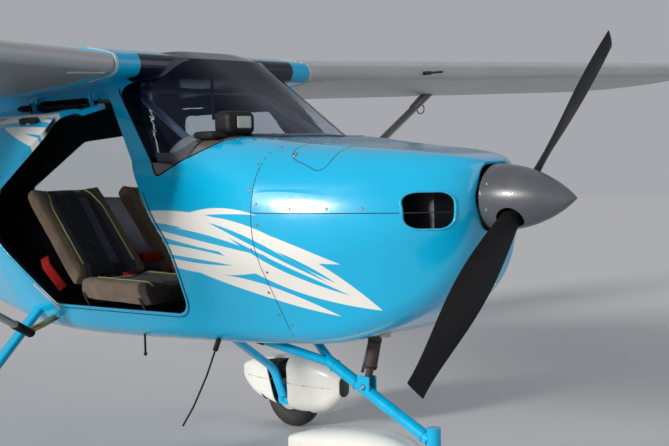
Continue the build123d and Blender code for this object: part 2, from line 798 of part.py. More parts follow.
with BuildPart() as rudder:
    add(upright_surface((RUDDER_HINGE, RUDDER_FOOT_Z, moving_section(RUDDER_FOOT_CHORD, RUDDER_NOSE_R)),
                        (RUDDER_HINGE, HEIGHT, moving_section(RUDDER_HEAD_CHORD, RUDDER_HEAD_NOSE_R))))
    for z in RUDDER_LUG_Z:
        with Locations((x_at(RUDDER_HINGE + RUDDER_LUG_R + RUN), 0, z)):
            Box(3 * RUDDER_NOSE_R, 4 * RUDDER_NOSE_R, RUDDER_LUG_THICK + RUN,
                align=(Align.MIN, Align.CENTER, Align.CENTER), mode=Mode.SUBTRACT)
        with Locations((x_at(RUDDER_HINGE), 0, z)):
            Cylinder(RUDDER_PIN_R, 2 * RUDDER_LUG_THICK)
save(rudder.part, "rudder")

# Tailplane halves, and one elevator across both sides on its torque tube
with BuildPart() as tailplane:
    add(level_surface((TAILPLANE_FRONT, 0, fixed_section(TAILPLANE_REAR - TAILPLANE_FRONT, TAILPLANE_THICK)),
                      (TAILPLANE_TIP_FRONT, TAILPLANE_HALF,
                       fixed_section(TAILPLANE_REAR - TAILPLANE_TIP_FRONT, TAILPLANE_TIP_THICK))))
    add(tail_hull, mode=Mode.SUBTRACT)
save_pair(Part([tailplane.part.solids().sort_by(Axis.Y)[-1]]), "tailplane")

with BuildPart() as elevator:
    add(level_surface((ELEVATOR_HINGE, 0, moving_section(ELEVATOR_CHORD, ELEVATOR_NOSE_R)),
                      (ELEVATOR_HINGE, TAILPLANE_HALF, moving_section(ELEVATOR_TIP_CHORD, ELEVATOR_TIP_NOSE_R))))
    with Locations((x_at(ELEVATOR_HINGE), 0, TAILPLANE_Z)):
        Box(ELEVATOR_CHORD * 3, 2 * ELEVATOR_INNER, ELEVATOR_CHORD, mode=Mode.SUBTRACT)
    with Locations(Location((x_at(ELEVATOR_HINGE), 0, TAILPLANE_Z), (90, 0, 0))):
        Cylinder(TORQUE_TUBE_R, 3 * ELEVATOR_INNER)
save(elevator.part, "elevator")

# Spinner: an ogive shell with blade cut-outs
propeller_centre = (x_at(PROPELLER_STATION), 0, THRUST_Z)
with BuildPart() as spinner:
    with BuildSketch(Plane.XZ):
        with BuildLine():
            tip = (x_at(0), THRUST_Z)
            rim = (x_at(SPINNER_LENGTH), THRUST_Z + SPINNER_RADIUS)
            inner_tip = (x_at(SPINNER_NOSE), THRUST_Z)
            inner_rim = (x_at(SPINNER_LENGTH), THRUST_Z + SPINNER_RADIUS - SPINNER_SKIN)
            TangentArc(rim, tip, tangent=(1, 0))
            Line(tip, inner_tip)
            TangentArc(inner_rim, inner_tip, tangent=(1, 0))
            Line(inner_rim, rim)
        make_face()
    revolve(axis=Axis((0, 0, THRUST_Z), (1, 0, 0)))
    with BuildSketch(Plane(origin=propeller_centre, x_dir=(1, 0, 0), z_dir=BLADE_AXIS)):
        Circle(BLADE_HOLE_R)
    extrude(amount=SPINNER_RADIUS * 2, both=True, mode=Mode.SUBTRACT)
save(spinner.part, "spinner")

# Propeller: hub, back plate and two twisted blades
with BuildPart() as propeller:
    with Locations(Location(propeller_centre, (0, 90, 0))):
        Cylinder(HUB_RADIUS, HUB_LENGTH)
    with BuildSketch(Plane(origin=(x_at(SPINNER_LENGTH), 0, THRUST_Z), x_dir=(0, 1, 0), z_dir=(1, 0, 0))):
        Circle(SPINNER_RADIUS - SPINNER_SKIN - 2 * FIT)
    extrude(amount=BACK_PLATE)
    with BuildSketch(Plane(origin=(x_at(SPINNER_LENGTH), 0, THRUST_Z), x_dir=(0, 1, 0), z_dir=(1, 0, 0))):
        Circle(HUB_NECK)
    extrude(amount=SPINNER_LENGTH - PROPELLER_STATION)
    for side in (1, -1):
        out = Vector(BLADE_AXIS) * side
        swing = Vector(1, 0, 0).cross(out)
        cuts = []
        for radius, chord, thickness, pitch in BLADE_SECTIONS:
            leading = swing * cos(radians(pitch)) + Vector(1, 0, 0) * sin(radians(pitch))
            plane = Plane(origin=Vector(propeller_centre) + out * radius, x_dir=leading, z_dir=out)
            with BuildSketch(plane) as cut:
                with BuildLine():
                    face = ThreePointArc((-chord / 2, 0), (0, thickness / 2), (chord / 2, 0))
                    ThreePointArc(face @ 1, (0, -thickness / 2), face @ 0)
                make_face()
            cuts.append(cut.sketch)
        loft(sections=cuts)
save(propeller.part, "propeller")

# Engine: one block with its shaft, on four tubes from the firewall
with BuildPart() as engine:
    with Locations((x_at((ENGINE_FRONT + ENGINE_REAR) / 2), 0, (ENGINE_LOW + ENGINE_HIGH) / 2)):
        Box(ENGINE_REAR - ENGINE_FRONT, 2 * ENGINE_HALF, ENGINE_HIGH - ENGINE_LOW)
    add(tube((ENGINE_FRONT, 0, THRUST_Z), (SPINNER_LENGTH + FIT, 0, THRUST_Z), SHAFT_RADIUS))
    for y in (ENGINE_HALF - 2 * MOUNT_TUBE, 2 * MOUNT_TUBE - ENGINE_HALF):
        for z in (ENGINE_LOW + 2 * MOUNT_TUBE, ENGINE_HIGH - 2 * MOUNT_TUBE):
            add(tube((ENGINE_REAR, y, z), (FIREWALL, y, z), MOUNT_TUBE))
save(engine.part, "engine")

# Exhaust: a pipe down from the engine, with a sleeve on its end that reaches out of the cowling
exhaust_end = EXHAUST[2] - EXHAUST_OUT
with BuildPart() as exhaust:
    add(tube((EXHAUST[0], EXHAUST[1], ENGINE_LOW), (EXHAUST[0], EXHAUST[1], exhaust_end + EXHAUST_SLEEVE),
             EXHAUST_PIPE_R))
    add(tube((EXHAUST[0], EXHAUST[1], exhaust_end + EXHAUST_SLEEVE), (EXHAUST[0], EXHAUST[1], exhaust_end),
             EXHAUST_RADIUS))
    add(tube((EXHAUST[0], EXHAUST[1], exhaust_end + EXHAUST_BORE[1]), (EXHAUST[0], EXHAUST[1], exhaust_end),
             EXHAUST_BORE[0]), mode=Mode.SUBTRACT)
save(exhaust.part, "exhaust")

# Nose arm: a Y of tubes from the belly to the steering head, with gussets for the shock
arm_drop = (ARM_FORK[2] - ARM_HEAD[2]) / (ARM_FORK[0] - ARM_HEAD[0])
gusset_z = ARM_HEAD[2] + (SHOCK_LOW[0] - ARM_HEAD[0]) * arm_drop
with BuildPart() as nose_arm:
    for side in (1, -1):
        add(tube((ARM_TOP[0], side * ARM_TOP[1], ARM_TOP[2]), ARM_FORK, PRONG_TUBE))
    add(tube((ARM_FORK[0] + ARM_TUBE, 0, ARM_FORK[2] + ARM_TUBE * arm_drop), ARM_HEAD, ARM_TUBE))
    for y in (GUSSET_Y, -GUSSET_Y):
        with Locations((x_at(SHOCK_LOW[0]), y, gusset_z + GUSSET_HEIGHT / 2)):
            Box(GUSSET_HEIGHT, GUSSET_THICK, GUSSET_HEIGHT)
    add(tube((HEAD_STATION, 0, HEAD_LOW), (HEAD_STATION, 0, HEAD_HIGH), HEAD_RADIUS))
    add(tube((HEAD_STATION, 0, HEAD_LOW - HEAD_CAP), (HEAD_STATION, 0, HEAD_HIGH + HEAD_CAP),
             KING_PIN + PIN_GAP), mode=Mode.SUBTRACT)
    add(tube((SHOCK_LOW[0], -GUSSET_HEIGHT / 2, SHOCK_LOW[2]), (SHOCK_LOW[0], GUSSET_HEIGHT / 2, SHOCK_LOW[2]),
             SHOCK_BOLT_R))
    add(hull, mode=Mode.SUBTRACT)
save(nose_arm.part, "nose_arm")

# Nose shock: telescopic, from the arm up to the engine
shock_unit = (Vector(SHOCK_HIGH) - Vector(SHOCK_LOW)).normalized()
shock_body = [tuple(Vector(SHOCK_LOW) + shock_unit * along) for along in SHOCK_BODY]
with BuildPart() as nose_shock:
    add(tube(SHOCK_LOW, SHOCK_HIGH, SHOCK_ROD))
    add(tube(shock_body[0], shock_body[1], SHOCK_RADIUS))
    add(nose_arm.part, mode=Mode.SUBTRACT)
    add(engine.part, mode=Mode.SUBTRACT)
save(nose_shock.part, "nose_shock")

# Nose wheel, its fork on the king pin, and its spat
fork_inner = NOSE_WHEEL_WIDTH / 2 + RUN
crown_x = x_at(HEAD_STATION)
axle_x = x_at(NOSE_WHEEL)
crown_top = FORK_CROWN_Z + FORK_CROWN_THICK / 2
with BuildPart() as nose_fork:
    add(tube((HEAD_STATION, 0, FORK_CROWN_Z), (HEAD_STATION, 0, HEAD_HIGH + HEAD_CAP), KING_PIN))
    add(tube((HEAD_STATION, 0, FORK_CROWN_Z), (HEAD_STATION, 0, HEAD_LOW - FIT), HEAD_RADIUS))
    add(tube((HEAD_STATION, 0, HEAD_HIGH + FIT), (HEAD_STATION, 0, HEAD_HIGH + HEAD_CAP), HEAD_RADIUS))
    with Locations((crown_x, 0, FORK_CROWN_Z)):
        Box(2 * HEAD_RADIUS, 2 * (fork_inner + FORK_PLATE), FORK_CROWN_THICK)
    for y in (fork_inner, -fork_inner - FORK_PLATE):
        with BuildSketch(Plane(origin=(0, y, 0), x_dir=(1, 0, 0), z_dir=(0, 1, 0))):
            with BuildLine():
                Polyline(
                    (crown_x + HEAD_RADIUS, -crown_top),
                    (crown_x - HEAD_RADIUS, -crown_top),
                    (axle_x - HEAD_RADIUS, -NOSE_WHEEL_RADIUS - AXLE_RADIUS),
                    (axle_x - HEAD_RADIUS, -NOSE_WHEEL_RADIUS + 2 * AXLE_RADIUS),
                    (axle_x + HEAD_RADIUS, -NOSE_WHEEL_RADIUS + 2 * AXLE_RADIUS),
                    (crown_x + HEAD_RADIUS, FORK_CROWN_THICK - FORK_CROWN_Z),
                    close=True,
                )
            make_face()
        extrude(amount=FORK_PLATE)
    add(tube((NOSE_WHEEL, -NOSE_AXLE_HALF, NOSE_WHEEL_RADIUS), (NOSE_WHEEL, NOSE_AXLE_HALF, NOSE_WHEEL_RADIUS),
             AXLE_RADIUS))
save(nose_fork.part, "nose_fork")
save(wheel(NOSE_WHEEL, 0, NOSE_WHEEL_RADIUS, NOSE_WHEEL_WIDTH), "nose_wheel")

with BuildPart() as nose_spat:
    add(pod(NOSE_SPAT_SECTIONS, 0))
    add(pod(NOSE_SPAT_SECTIONS, 0, SPAT_WALL), mode=Mode.SUBTRACT)
    with Locations((axle_x, 0, SPAT_MOUTH_Z)):
        Box(2 * (NOSE_WHEEL_RADIUS + RUN), 2 * SPAT_MOUTH_HALF, SPAT_MOUTH_Z,
            align=(Align.CENTER, Align.CENTER, Align.MAX), mode=Mode.SUBTRACT)
    add(nose_fork.part, mode=Mode.SUBTRACT)
save(nose_spat.part, "nose_spat")

# Main wheels, spats and legs
save_pair(wheel(MAIN_WHEEL[0], MAIN_WHEEL[1], MAIN_WHEEL_RADIUS, MAIN_WHEEL_WIDTH), "main_wheel")

with BuildPart() as main_spat:
    add(pod(MAIN_SPAT_SECTIONS, MAIN_WHEEL[1]))
    add(pod(MAIN_SPAT_SECTIONS, MAIN_WHEEL[1], SPAT_WALL), mode=Mode.SUBTRACT)
    with Locations((x_at(MAIN_WHEEL[0]), MAIN_WHEEL[1], SPAT_MOUTH_Z)):
        Box(2 * (MAIN_WHEEL_RADIUS + RUN), 2 * SPAT_MOUTH_HALF, SPAT_MOUTH_Z,
            align=(Align.CENTER, Align.CENTER, Align.MAX), mode=Mode.SUBTRACT)
    add(side_prism([(station, z, 0) for station, z in SPAT_NOTCH], LEG_ROUTE[1][1] - LEG_PLATE,
                   MAIN_WHEEL[1] - MAIN_WHEEL_WIDTH / 2), mode=Mode.SUBTRACT)
save_pair(main_spat.part, "main_spat")

with BuildPart() as main_leg:
    with BuildLine() as leg_path:
        FilletPolyline(*[point(place) for place in LEG_ROUTE], radius=LEG_BEND)
    with BuildSketch(Plane(origin=leg_path.line @ 0, x_dir=(1, 0, 0), z_dir=leg_path.line % 0)):
        SlotOverall(LEG_CHORD, LEG_THICK)
    sweep(path=leg_path.line)
    add(tube((MAIN_WHEEL[0], LEG_ROUTE[2][1], MAIN_WHEEL_RADIUS),
             (MAIN_WHEEL[0], MAIN_WHEEL[1] + MAIN_AXLE_OUT, MAIN_WHEEL_RADIUS), AXLE_RADIUS))
    with BuildSketch(Plane(origin=(x_at(MAIN_WHEEL[0]), LEG_ROUTE[2][1] + LEG_THICK / 2 + LEG_PLATE_THICK,
                                   MAIN_WHEEL_RADIUS), x_dir=(1, 0, 0), z_dir=(0, -1, 0))):
        RectangleRounded(LEG_PLATE, LEG_PLATE, LEG_PLATE_CORNER)
        with PolarLocations(LEG_PLATE_HOLES[0], LEG_PLATE_HOLES[1]):
            Circle(LEG_PLATE_HOLES[2], mode=Mode.SUBTRACT)
    extrude(amount=2 * LEG_PLATE_THICK)
    add(hull, mode=Mode.SUBTRACT)
    add(main_spat.part, mode=Mode.SUBTRACT)
save_pair(main_leg.part, "main_leg")

# Cabin: seats, their base, panel and shelf, frame tubes and stick
with BuildPart() as seat_left:
    add(side_prism(SEAT_OUTLINE, SEAT_Y - SEAT_WIDTH / 2, SEAT_Y + SEAT_WIDTH / 2))
    add(body(CABIN_SECTIONS, CABIN_WALL + FIT), mode=Mode.INTERSECT)
save_pair(seat_left.part, "seat")

with BuildPart() as seat_base:
    for station in (SEAT_BASE_FRONT, SEAT_BASE_REAR):
        with Locations((x_at(station), 0, FLOOR_Z)):
            Box(SEAT_BASE_WALL, 2 * REACH, SEAT_BASE_TOP - FLOOR_Z,
                align=(Align.CENTER, Align.CENTER, Align.MIN))
    with Locations((x_at((SEAT_BASE_FRONT + SEAT_BASE_REAR) / 2), 0, SEAT_BASE_TOP)):
        Box(SEAT_BASE_REAR - SEAT_BASE_FRONT, 2 * (SEAT_Y - SEAT_WIDTH / 2), SEAT_BASE_WALL,
            align=(Align.CENTER, Align.CENTER, Align.MAX))
    add(hull_inner, mode=Mode.INTERSECT)
    add(seat_left.part, mode=Mode.SUBTRACT)
    add(mirror(seat_left.part, about=Plane.XZ), mode=Mode.SUBTRACT)
save(seat_base.part, "seat_base")

with BuildPart() as shelf:
    add(body(CABIN_SECTIONS, -SHELF_THICK))
    add(hull, mode=Mode.SUBTRACT)
    with Locations((x_at(PANEL_STATION + PANEL_THICK), 0, 0)):
        Box(PANEL_STATION, 2 * REACH, LENGTH, align=(Align.MIN, Align.CENTER, Align.CENTER),
            mode=Mode.INTERSECT)
    add(canopy(CABIN_WALL + FIT), mode=Mode.INTERSECT)

with BuildPart() as instrument_panel:
    with Locations((x_at(PANEL_STATION + FIT), 0, PANEL_FOOT_Z)):
        Box(PANEL_THICK, 2 * REACH, 2 * REACH, align=(Align.MAX, Align.CENTER, Align.MIN))
    add(body(CABIN_SECTIONS, -SHELF_THICK), mode=Mode.INTERSECT)
    add(cabin_inner.part, mode=Mode.INTERSECT)
    add(shelf.part)
save(instrument_panel.part, "instrument_panel")

with BuildPart() as cabin_frame:
    for side in (1, -1):
        top = (FRAME_TOP[0], side * FRAME_TOP[1], FRAME_TOP[2])
        foot = (FRAME_FOOT[0], side * FRAME_FOOT[1], FRAME_FOOT[2])
        add(tube(top, foot, FRAME_TUBE))
    add(tube((FRAME_CROSS[0], FRAME_CROSS[1], FRAME_CROSS[2]),
             (FRAME_CROSS[0], -FRAME_CROSS[1], FRAME_CROSS[2]), FRAME_CROSS_TUBE))
    add(centre_section.part, mode=Mode.SUBTRACT)
    add(glare_shield_block(hull), mode=Mode.SUBTRACT)
    add(instrument_panel.part, mode=Mode.SUBTRACT)
save(cabin_frame.part, "cabin_frame")

with BuildPart() as control_stick:
    add(tube(STICK_FOOT, STICK_KNEE, STICK_RADIUS))
    add(tube(STICK_KNEE, STICK_TOP, STICK_UPPER_R))
    with Locations(point(STICK_KNEE)):
        Sphere(STICK_KNEE_R)
    grip = (Vector(STICK_TOP) - Vector(STICK_KNEE)).normalized() * GRIP_LENGTH
    add(tube(STICK_TOP, tuple(Vector(STICK_TOP) + grip), GRIP_RADIUS))
    add(hull_inner, mode=Mode.INTERSECT)
save(control_stick.part, "control_stick")

# Air data tube and aerials
with BuildPart() as pitot_tube:
    nose_point = wing_plane(PITOT_ALONG).origin
    with BuildSketch(Plane(origin=nose_point + Vector(-PITOT_ROOT, 0, 0), z_dir=(1, 0, 0))):
        Circle(PITOT_HOLDER_R)
    extrude(amount=PITOT_ROOT + PITOT_HOLDER)
    with BuildSketch(Plane(origin=nose_point, z_dir=(1, 0, 0))):
        Circle(PITOT_RADIUS)
    extrude(amount=PITOT_LENGTH)
    add(wing_left.part, mode=Mode.SUBTRACT)
save(pitot_tube.part, "pitot_tube")

with BuildPart() as whip_aerial:
    with BuildLine() as whip_path:
        FilletPolyline(*[point(place) for place in WHIP_ROUTE], radius=WHIP_BEND)
    with BuildSketch(Plane(origin=whip_path.line @ 0, z_dir=whip_path.line % 0)):
        Circle(WHIP_RADIUS)
    sweep(path=whip_path.line)
    boot_run = (Vector(WHIP_ROUTE[1]) - Vector(WHIP_ROUTE[0])) * WHIP_BOOT_END
    add(tube(WHIP_ROUTE[0], tuple(Vector(WHIP_ROUTE[0]) + boot_run), WHIP_BOOT_R))
    add(hull, mode=Mode.SUBTRACT)
save(whip_aerial.part, "whip_aerial")

with BuildPart() as stub_aerial:
    add(tube(STUB_FOOT, (STUB_FOOT[0], STUB_FOOT[1], STUB_TIP_Z), STUB_RADIUS))
    with Locations(point((STUB_FOOT[0], STUB_FOOT[1], STUB_TIP_Z))):
        Sphere(STUB_BALL_R)
    add(hull, mode=Mode.SUBTRACT)
save(stub_aerial.part, "stub_aerial")
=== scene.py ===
import json
from math import atan2, cos, hypot, pi, radians, sin

import bmesh
import bpy
from mathutils import Matrix, Vector
from mathutils.bvhtree import BVHTree


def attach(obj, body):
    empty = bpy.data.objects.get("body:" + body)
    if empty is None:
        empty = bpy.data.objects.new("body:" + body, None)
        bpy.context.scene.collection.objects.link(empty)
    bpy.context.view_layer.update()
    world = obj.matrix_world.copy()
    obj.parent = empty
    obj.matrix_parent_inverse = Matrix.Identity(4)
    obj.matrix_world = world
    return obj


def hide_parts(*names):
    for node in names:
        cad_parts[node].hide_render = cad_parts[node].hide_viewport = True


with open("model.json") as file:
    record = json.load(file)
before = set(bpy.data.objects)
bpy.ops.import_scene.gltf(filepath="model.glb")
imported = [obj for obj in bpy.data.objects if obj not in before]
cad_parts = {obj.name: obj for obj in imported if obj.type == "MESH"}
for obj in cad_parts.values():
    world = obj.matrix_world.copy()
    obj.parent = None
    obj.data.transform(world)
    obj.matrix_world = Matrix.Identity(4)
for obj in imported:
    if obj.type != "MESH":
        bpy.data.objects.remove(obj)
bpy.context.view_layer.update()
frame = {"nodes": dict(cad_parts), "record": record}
nodes = frame["nodes"]
LENGTH = 6.2
SIDES = ((1, "left"), (-1, "right"))
DOWN = Vector((0, 0, -1))
AFT = Vector((-1, 0, 0))
PORT = Vector((0, 1, 0))


def at(station, y, z):
    """Row-frame point from millimetres: aft of the spinner's tip, to port, above the ground."""
    return Vector((LENGTH / 2 - station / 1000, y / 1000, z / 1000))


# Shader helpers
def new_material(name):
    material = bpy.data.materials.new(name)
    material.use_nodes = True
    tree = material.node_tree
    return material, tree, tree.nodes["Principled BSDF"]


def feed(tree, node, inputs):
    """Links the sockets among the inputs to the node, and sets the plain values on it."""
    for name, value in (inputs or {}).items():
        if isinstance(value, bpy.types.NodeSocket):
            tree.links.new(value, node.inputs[name])
        else:
            node.inputs[name].default_value = value
    return node


def add_node(tree, kind, inputs=None, **settings):
    node = tree.nodes.new("ShaderNode" + kind)
    for name, value in settings.items():
        setattr(node, name, value)
    return feed(tree, node, inputs)


def link(tree, source, target):
    tree.links.new(source, target)


def new_group(name, inputs, outputs):
    group = bpy.data.node_groups.new(name, "ShaderNodeTree")
    for kind, label, value in inputs:
        socket = group.interface.new_socket(label, in_out="INPUT", socket_type="NodeSocket" + kind)
        socket.default_value = value
    for kind, label in outputs:
        group.interface.new_socket(label, in_out="OUTPUT", socket_type="NodeSocket" + kind)
    return group, group.nodes.new("NodeGroupInput"), group.nodes.new("NodeGroupOutput")


def use_group(tree, group, inputs):
    node = tree.nodes.new("ShaderNodeGroup")
    node.node_tree = group
    return feed(tree, node, inputs)


def math_node(tree, operation, *values):
    return add_node(tree, "Math", dict(enumerate(values)), operation=operation).outputs[0]


def times(tree, first, *others):
    for other in others:
        first = math_node(tree, "MULTIPLY", first, other)
    return first


def minus(tree, first, second):
    return math_node(tree, "SUBTRACT", first, second)


def axes_of(tree, vector):
    """The vector's X, Y and Z sockets."""
    return add_node(tree, "SeparateXYZ", {"Vector": vector}).outputs


def ramp(tree, value, low, high):
    """0 where the value is low and 1 where it is high, and a slope between."""
    return add_node(tree, "MapRange", {"Value": value, "From Min": low, "From Max": high}).outputs["Result"]


def mix_colour(tree, mask, first, second):
    return add_node(tree, "MixRGB", {"Fac": mask, "Color1": first, "Color2": second}).outputs["Color"]


def make_mottle():
    """Two colours mixed by soft noise, a roughness that follows it and a fine bump."""
    group, given, result = new_group("mottle", [
        ("Color", "Light", (0.8, 0.8, 0.8, 1)),
        ("Color", "Dark", (0.7, 0.7, 0.7, 1)),
        ("Float", "Scale", 6.0),
        ("Float", "Rough Low", 0.3),
        ("Float", "Rough High", 0.4),
        ("Float", "Grain", 60.0),
        ("Float", "Depth", 0.002),
    ], [("Color", "Color"), ("Float", "Roughness"), ("Vector", "Normal")])
    place = add_node(group, "TexCoord")
    broad = add_node(group, "TexNoise", {
        "Vector": place.outputs["Object"], "Scale": given.outputs["Scale"], "Detail": 4.0, "Roughness": 0.6})
    fine = add_node(group, "TexNoise", {
        "Vector": place.outputs["Object"], "Scale": given.outputs["Grain"], "Detail": 2.0})
    spread = add_node(group, "MapRange", {"Value": broad.outputs["Fac"], "From Min": 0.35, "From Max": 0.65})
    colour = mix_colour(group, spread.outputs["Result"], given.outputs["Dark"], given.outputs["Light"])
    rough = add_node(group, "MapRange", {
        "Value": broad.outputs["Fac"], "From Min": 0.3, "From Max": 0.7,
        "To Min": given.outputs["Rough Low"], "To Max": given.outputs["Rough High"]})
    bump = add_node(group, "Bump", {
        "Height": fine.outputs["Fac"], "Distance": given.outputs["Depth"], "Strength": 1.0})
    link(group, colour, result.inputs["Color"])
    link(group, rough.outputs["Result"], result.inputs["Roughness"])
    link(group, bump.outputs["Normal"], result.inputs["Normal"])
    return group


MOTTLE = make_mottle()


LEAF_EDGE = 0.0008  # metres over which a leaf's colour comes in


def make_leaf():
    """Mask of one leaf in the side view: long, pointed at both ends, and bent."""
    group, given, result = new_group("leaf", [
        ("Vector", "Place", (0, 0, 0)),
        ("Float", "Centre X", 0.0),
        ("Float", "Centre Z", 0.0),
        ("Float", "Turn", 0.0),
        ("Float", "Length", 0.3),
        ("Float", "Width", 0.05),
        ("Float", "Bend", 0.0),
    ], [("Float", "Mask")])
    centre = add_node(group, "CombineXYZ", {"X": given.outputs["Centre X"], "Z": given.outputs["Centre Z"]})
    turned = add_node(group, "VectorRotate", {
        "Vector": given.outputs["Place"], "Center": centre.outputs["Vector"], "Angle": given.outputs["Turn"]},
        rotation_type="Y_AXIS")
    offset = add_node(group, "VectorMath", {0: turned.outputs["Vector"], 1: centre.outputs["Vector"]},
                      operation="SUBTRACT")
    axes = axes_of(group, offset.outputs["Vector"])
    sag = times(group, math_node(group, "POWER", axes["X"], 2.0), given.outputs["Bend"])
    away = math_node(group, "ABSOLUTE", minus(group, axes["Z"], sag))
    share = math_node(group, "DIVIDE", axes["X"], given.outputs["Length"])
    taper = minus(group, 1.0, math_node(group, "POWER", share, 2.0))
    wide = times(group, taper, given.outputs["Width"])
    link(group, ramp(group, minus(group, wide, away), -LEAF_EDGE, LEAF_EDGE), result.inputs["Mask"])
    return group


LEAF = make_leaf()


def mottled(name, light, dark, rough, scale, grain, depth, **constants):
    """Material whose colour, roughness and bump come from the mottle group."""
    material, tree, bsdf = new_material(name)
    mottle = use_group(tree, MOTTLE, {
        "Light": (*light, 1), "Dark": (*dark, 1), "Scale": scale, "Rough Low": rough[0], "Rough High": rough[1],
        "Grain": grain, "Depth": depth})
    mottle.name = "mottle"
    link(tree, mottle.outputs["Color"], bsdf.inputs["Base Color"])
    link(tree, mottle.outputs["Roughness"], bsdf.inputs["Roughness"])
    link(tree, mottle.outputs["Normal"], bsdf.inputs["Normal"])
    for socket, value in constants.items():
        bsdf.inputs[socket.replace("_", " ")].default_value = value
    return material


def recolour(material, mask, colour):
    """Lays one more colour over a mottled material where the mask is 1."""
    tree = material.node_tree
    base = tree.nodes["Principled BSDF"].inputs["Base Color"]
    link(tree, mix_colour(tree, mask, base.links[0].from_socket, (*colour, 1)), base)


# Swooshes on the cowl, the cabin and the doors: station, height, half length, half width, turn, bend
WHITE_LEAVES = (
    (1290, 1240, 560, 66, -8, -0.1),
    (1020, 1150, 420, 92, -24, -0.14),
    (1420, 1128, 420, 50, -6, 0.12),
    (1090, 1018, 300, 27, -14, -0.2),
    (1250, 1322, 210, 12, 3, -0.5),
    (2080, 1262, 520, 66, 5, -0.1),
    (2230, 1120, 400, 28, 9, 0.15),
)
BLUE_LEAVES = (
    (1330, 1222, 330, 15, -9, -0.16),
    (1030, 1190, 260, 12, -25, -0.35),
    (960, 1112, 240, 13, -26, 0.1),
    (1420, 1128, 230, 9, -5, 0.1),
    (870, 1120, 110, 8, -32, -0.3),
    (1560, 1262, 150, 8, -2, -0.2),
    (1980, 1262, 52, 22, 12, 0),
    (2110, 1270, 46, 19, 8, 0),
    (2230, 1268, 38, 15, 4, 0),
)
DOOR_OPEN_TURN = radians(70)
DOOR_HINGE = Vector((0, 0.512, 1.79))
AXIS_Z = 1.35  # height of the fuselage's middle
# Where the roof round the windscreen turns dark
SURROUND_Z = 1.852
SURROUND_Y = 0.448
SURROUND_X = 1.1
# A face is lining where it looks this far towards the fuselage's middle
LINING_FROM, LINING_FULL = -0.03, -0.06
# Foot and rear edge of the windscreen in the side view, as lines; the skin inside them shows through the glass
SCREEN_FOOT_SLOPE = 0.5135
SCREEN_FOOT_Z = 0.6797
SCREEN_POST_SLOPE = 0.948
SCREEN_POST_X = 2.8805
SHELF_FRONT_X = 1.8
SHELF_TOP_Z = 1.62
SHELF_BROWN = (0.16, 0.135, 0.12)
SURROUND_NAVY = (0.004, 0.008, 0.03)
LINING_BLACK = (0.006, 0.007, 0.012)
LINING_ROUGH = 0.9
BLUE_LIGHT = (0.0, 0.44, 0.74)
BLUE_DARK = (0.0, 0.41, 0.7)
SWOOSH_WHITE = (0.82, 0.81, 0.76)
PANEL_COAT_ROUGH, ROOF_COAT_ROUGH = 0.12, 0.05


def gloss_blue(name, coat_roughness):
    """Clear-coated blue, as on every outer panel of the fuselage."""
    return mottled(name, BLUE_LIGHT, BLUE_DARK, (0.2, 0.28), 3.0, 400, 0.00002,
                   Coat_Weight=0.35, Coat_Roughness=coat_roughness, Specular_IOR_Level=0.3)


def axis_turn(tree, vector, angle, **centre):
    """The vector turned about a line along the fuselage."""
    return add_node(tree, "VectorRotate", {"Vector": vector, "Angle": angle, **centre},
                    rotation_type="X_AXIS").outputs["Vector"]


def leaves_mask(tree, place, leaves):
    """1 where any leaf of the row covers the place."""
    mask = None
    for station, height, length, width, turn, bend in leaves:
        leaf = use_group(tree, LEAF, {
            "Place": place, "Centre X": LENGTH / 2 - station / 1000, "Centre Z": height / 1000,
            "Turn": radians(turn), "Length": length / 1000, "Width": width / 1000, "Bend": bend})
        mask = leaf.outputs["Mask"] if mask is None else math_node(tree, "MAXIMUM", mask, leaf.outputs["Mask"])
    return mask


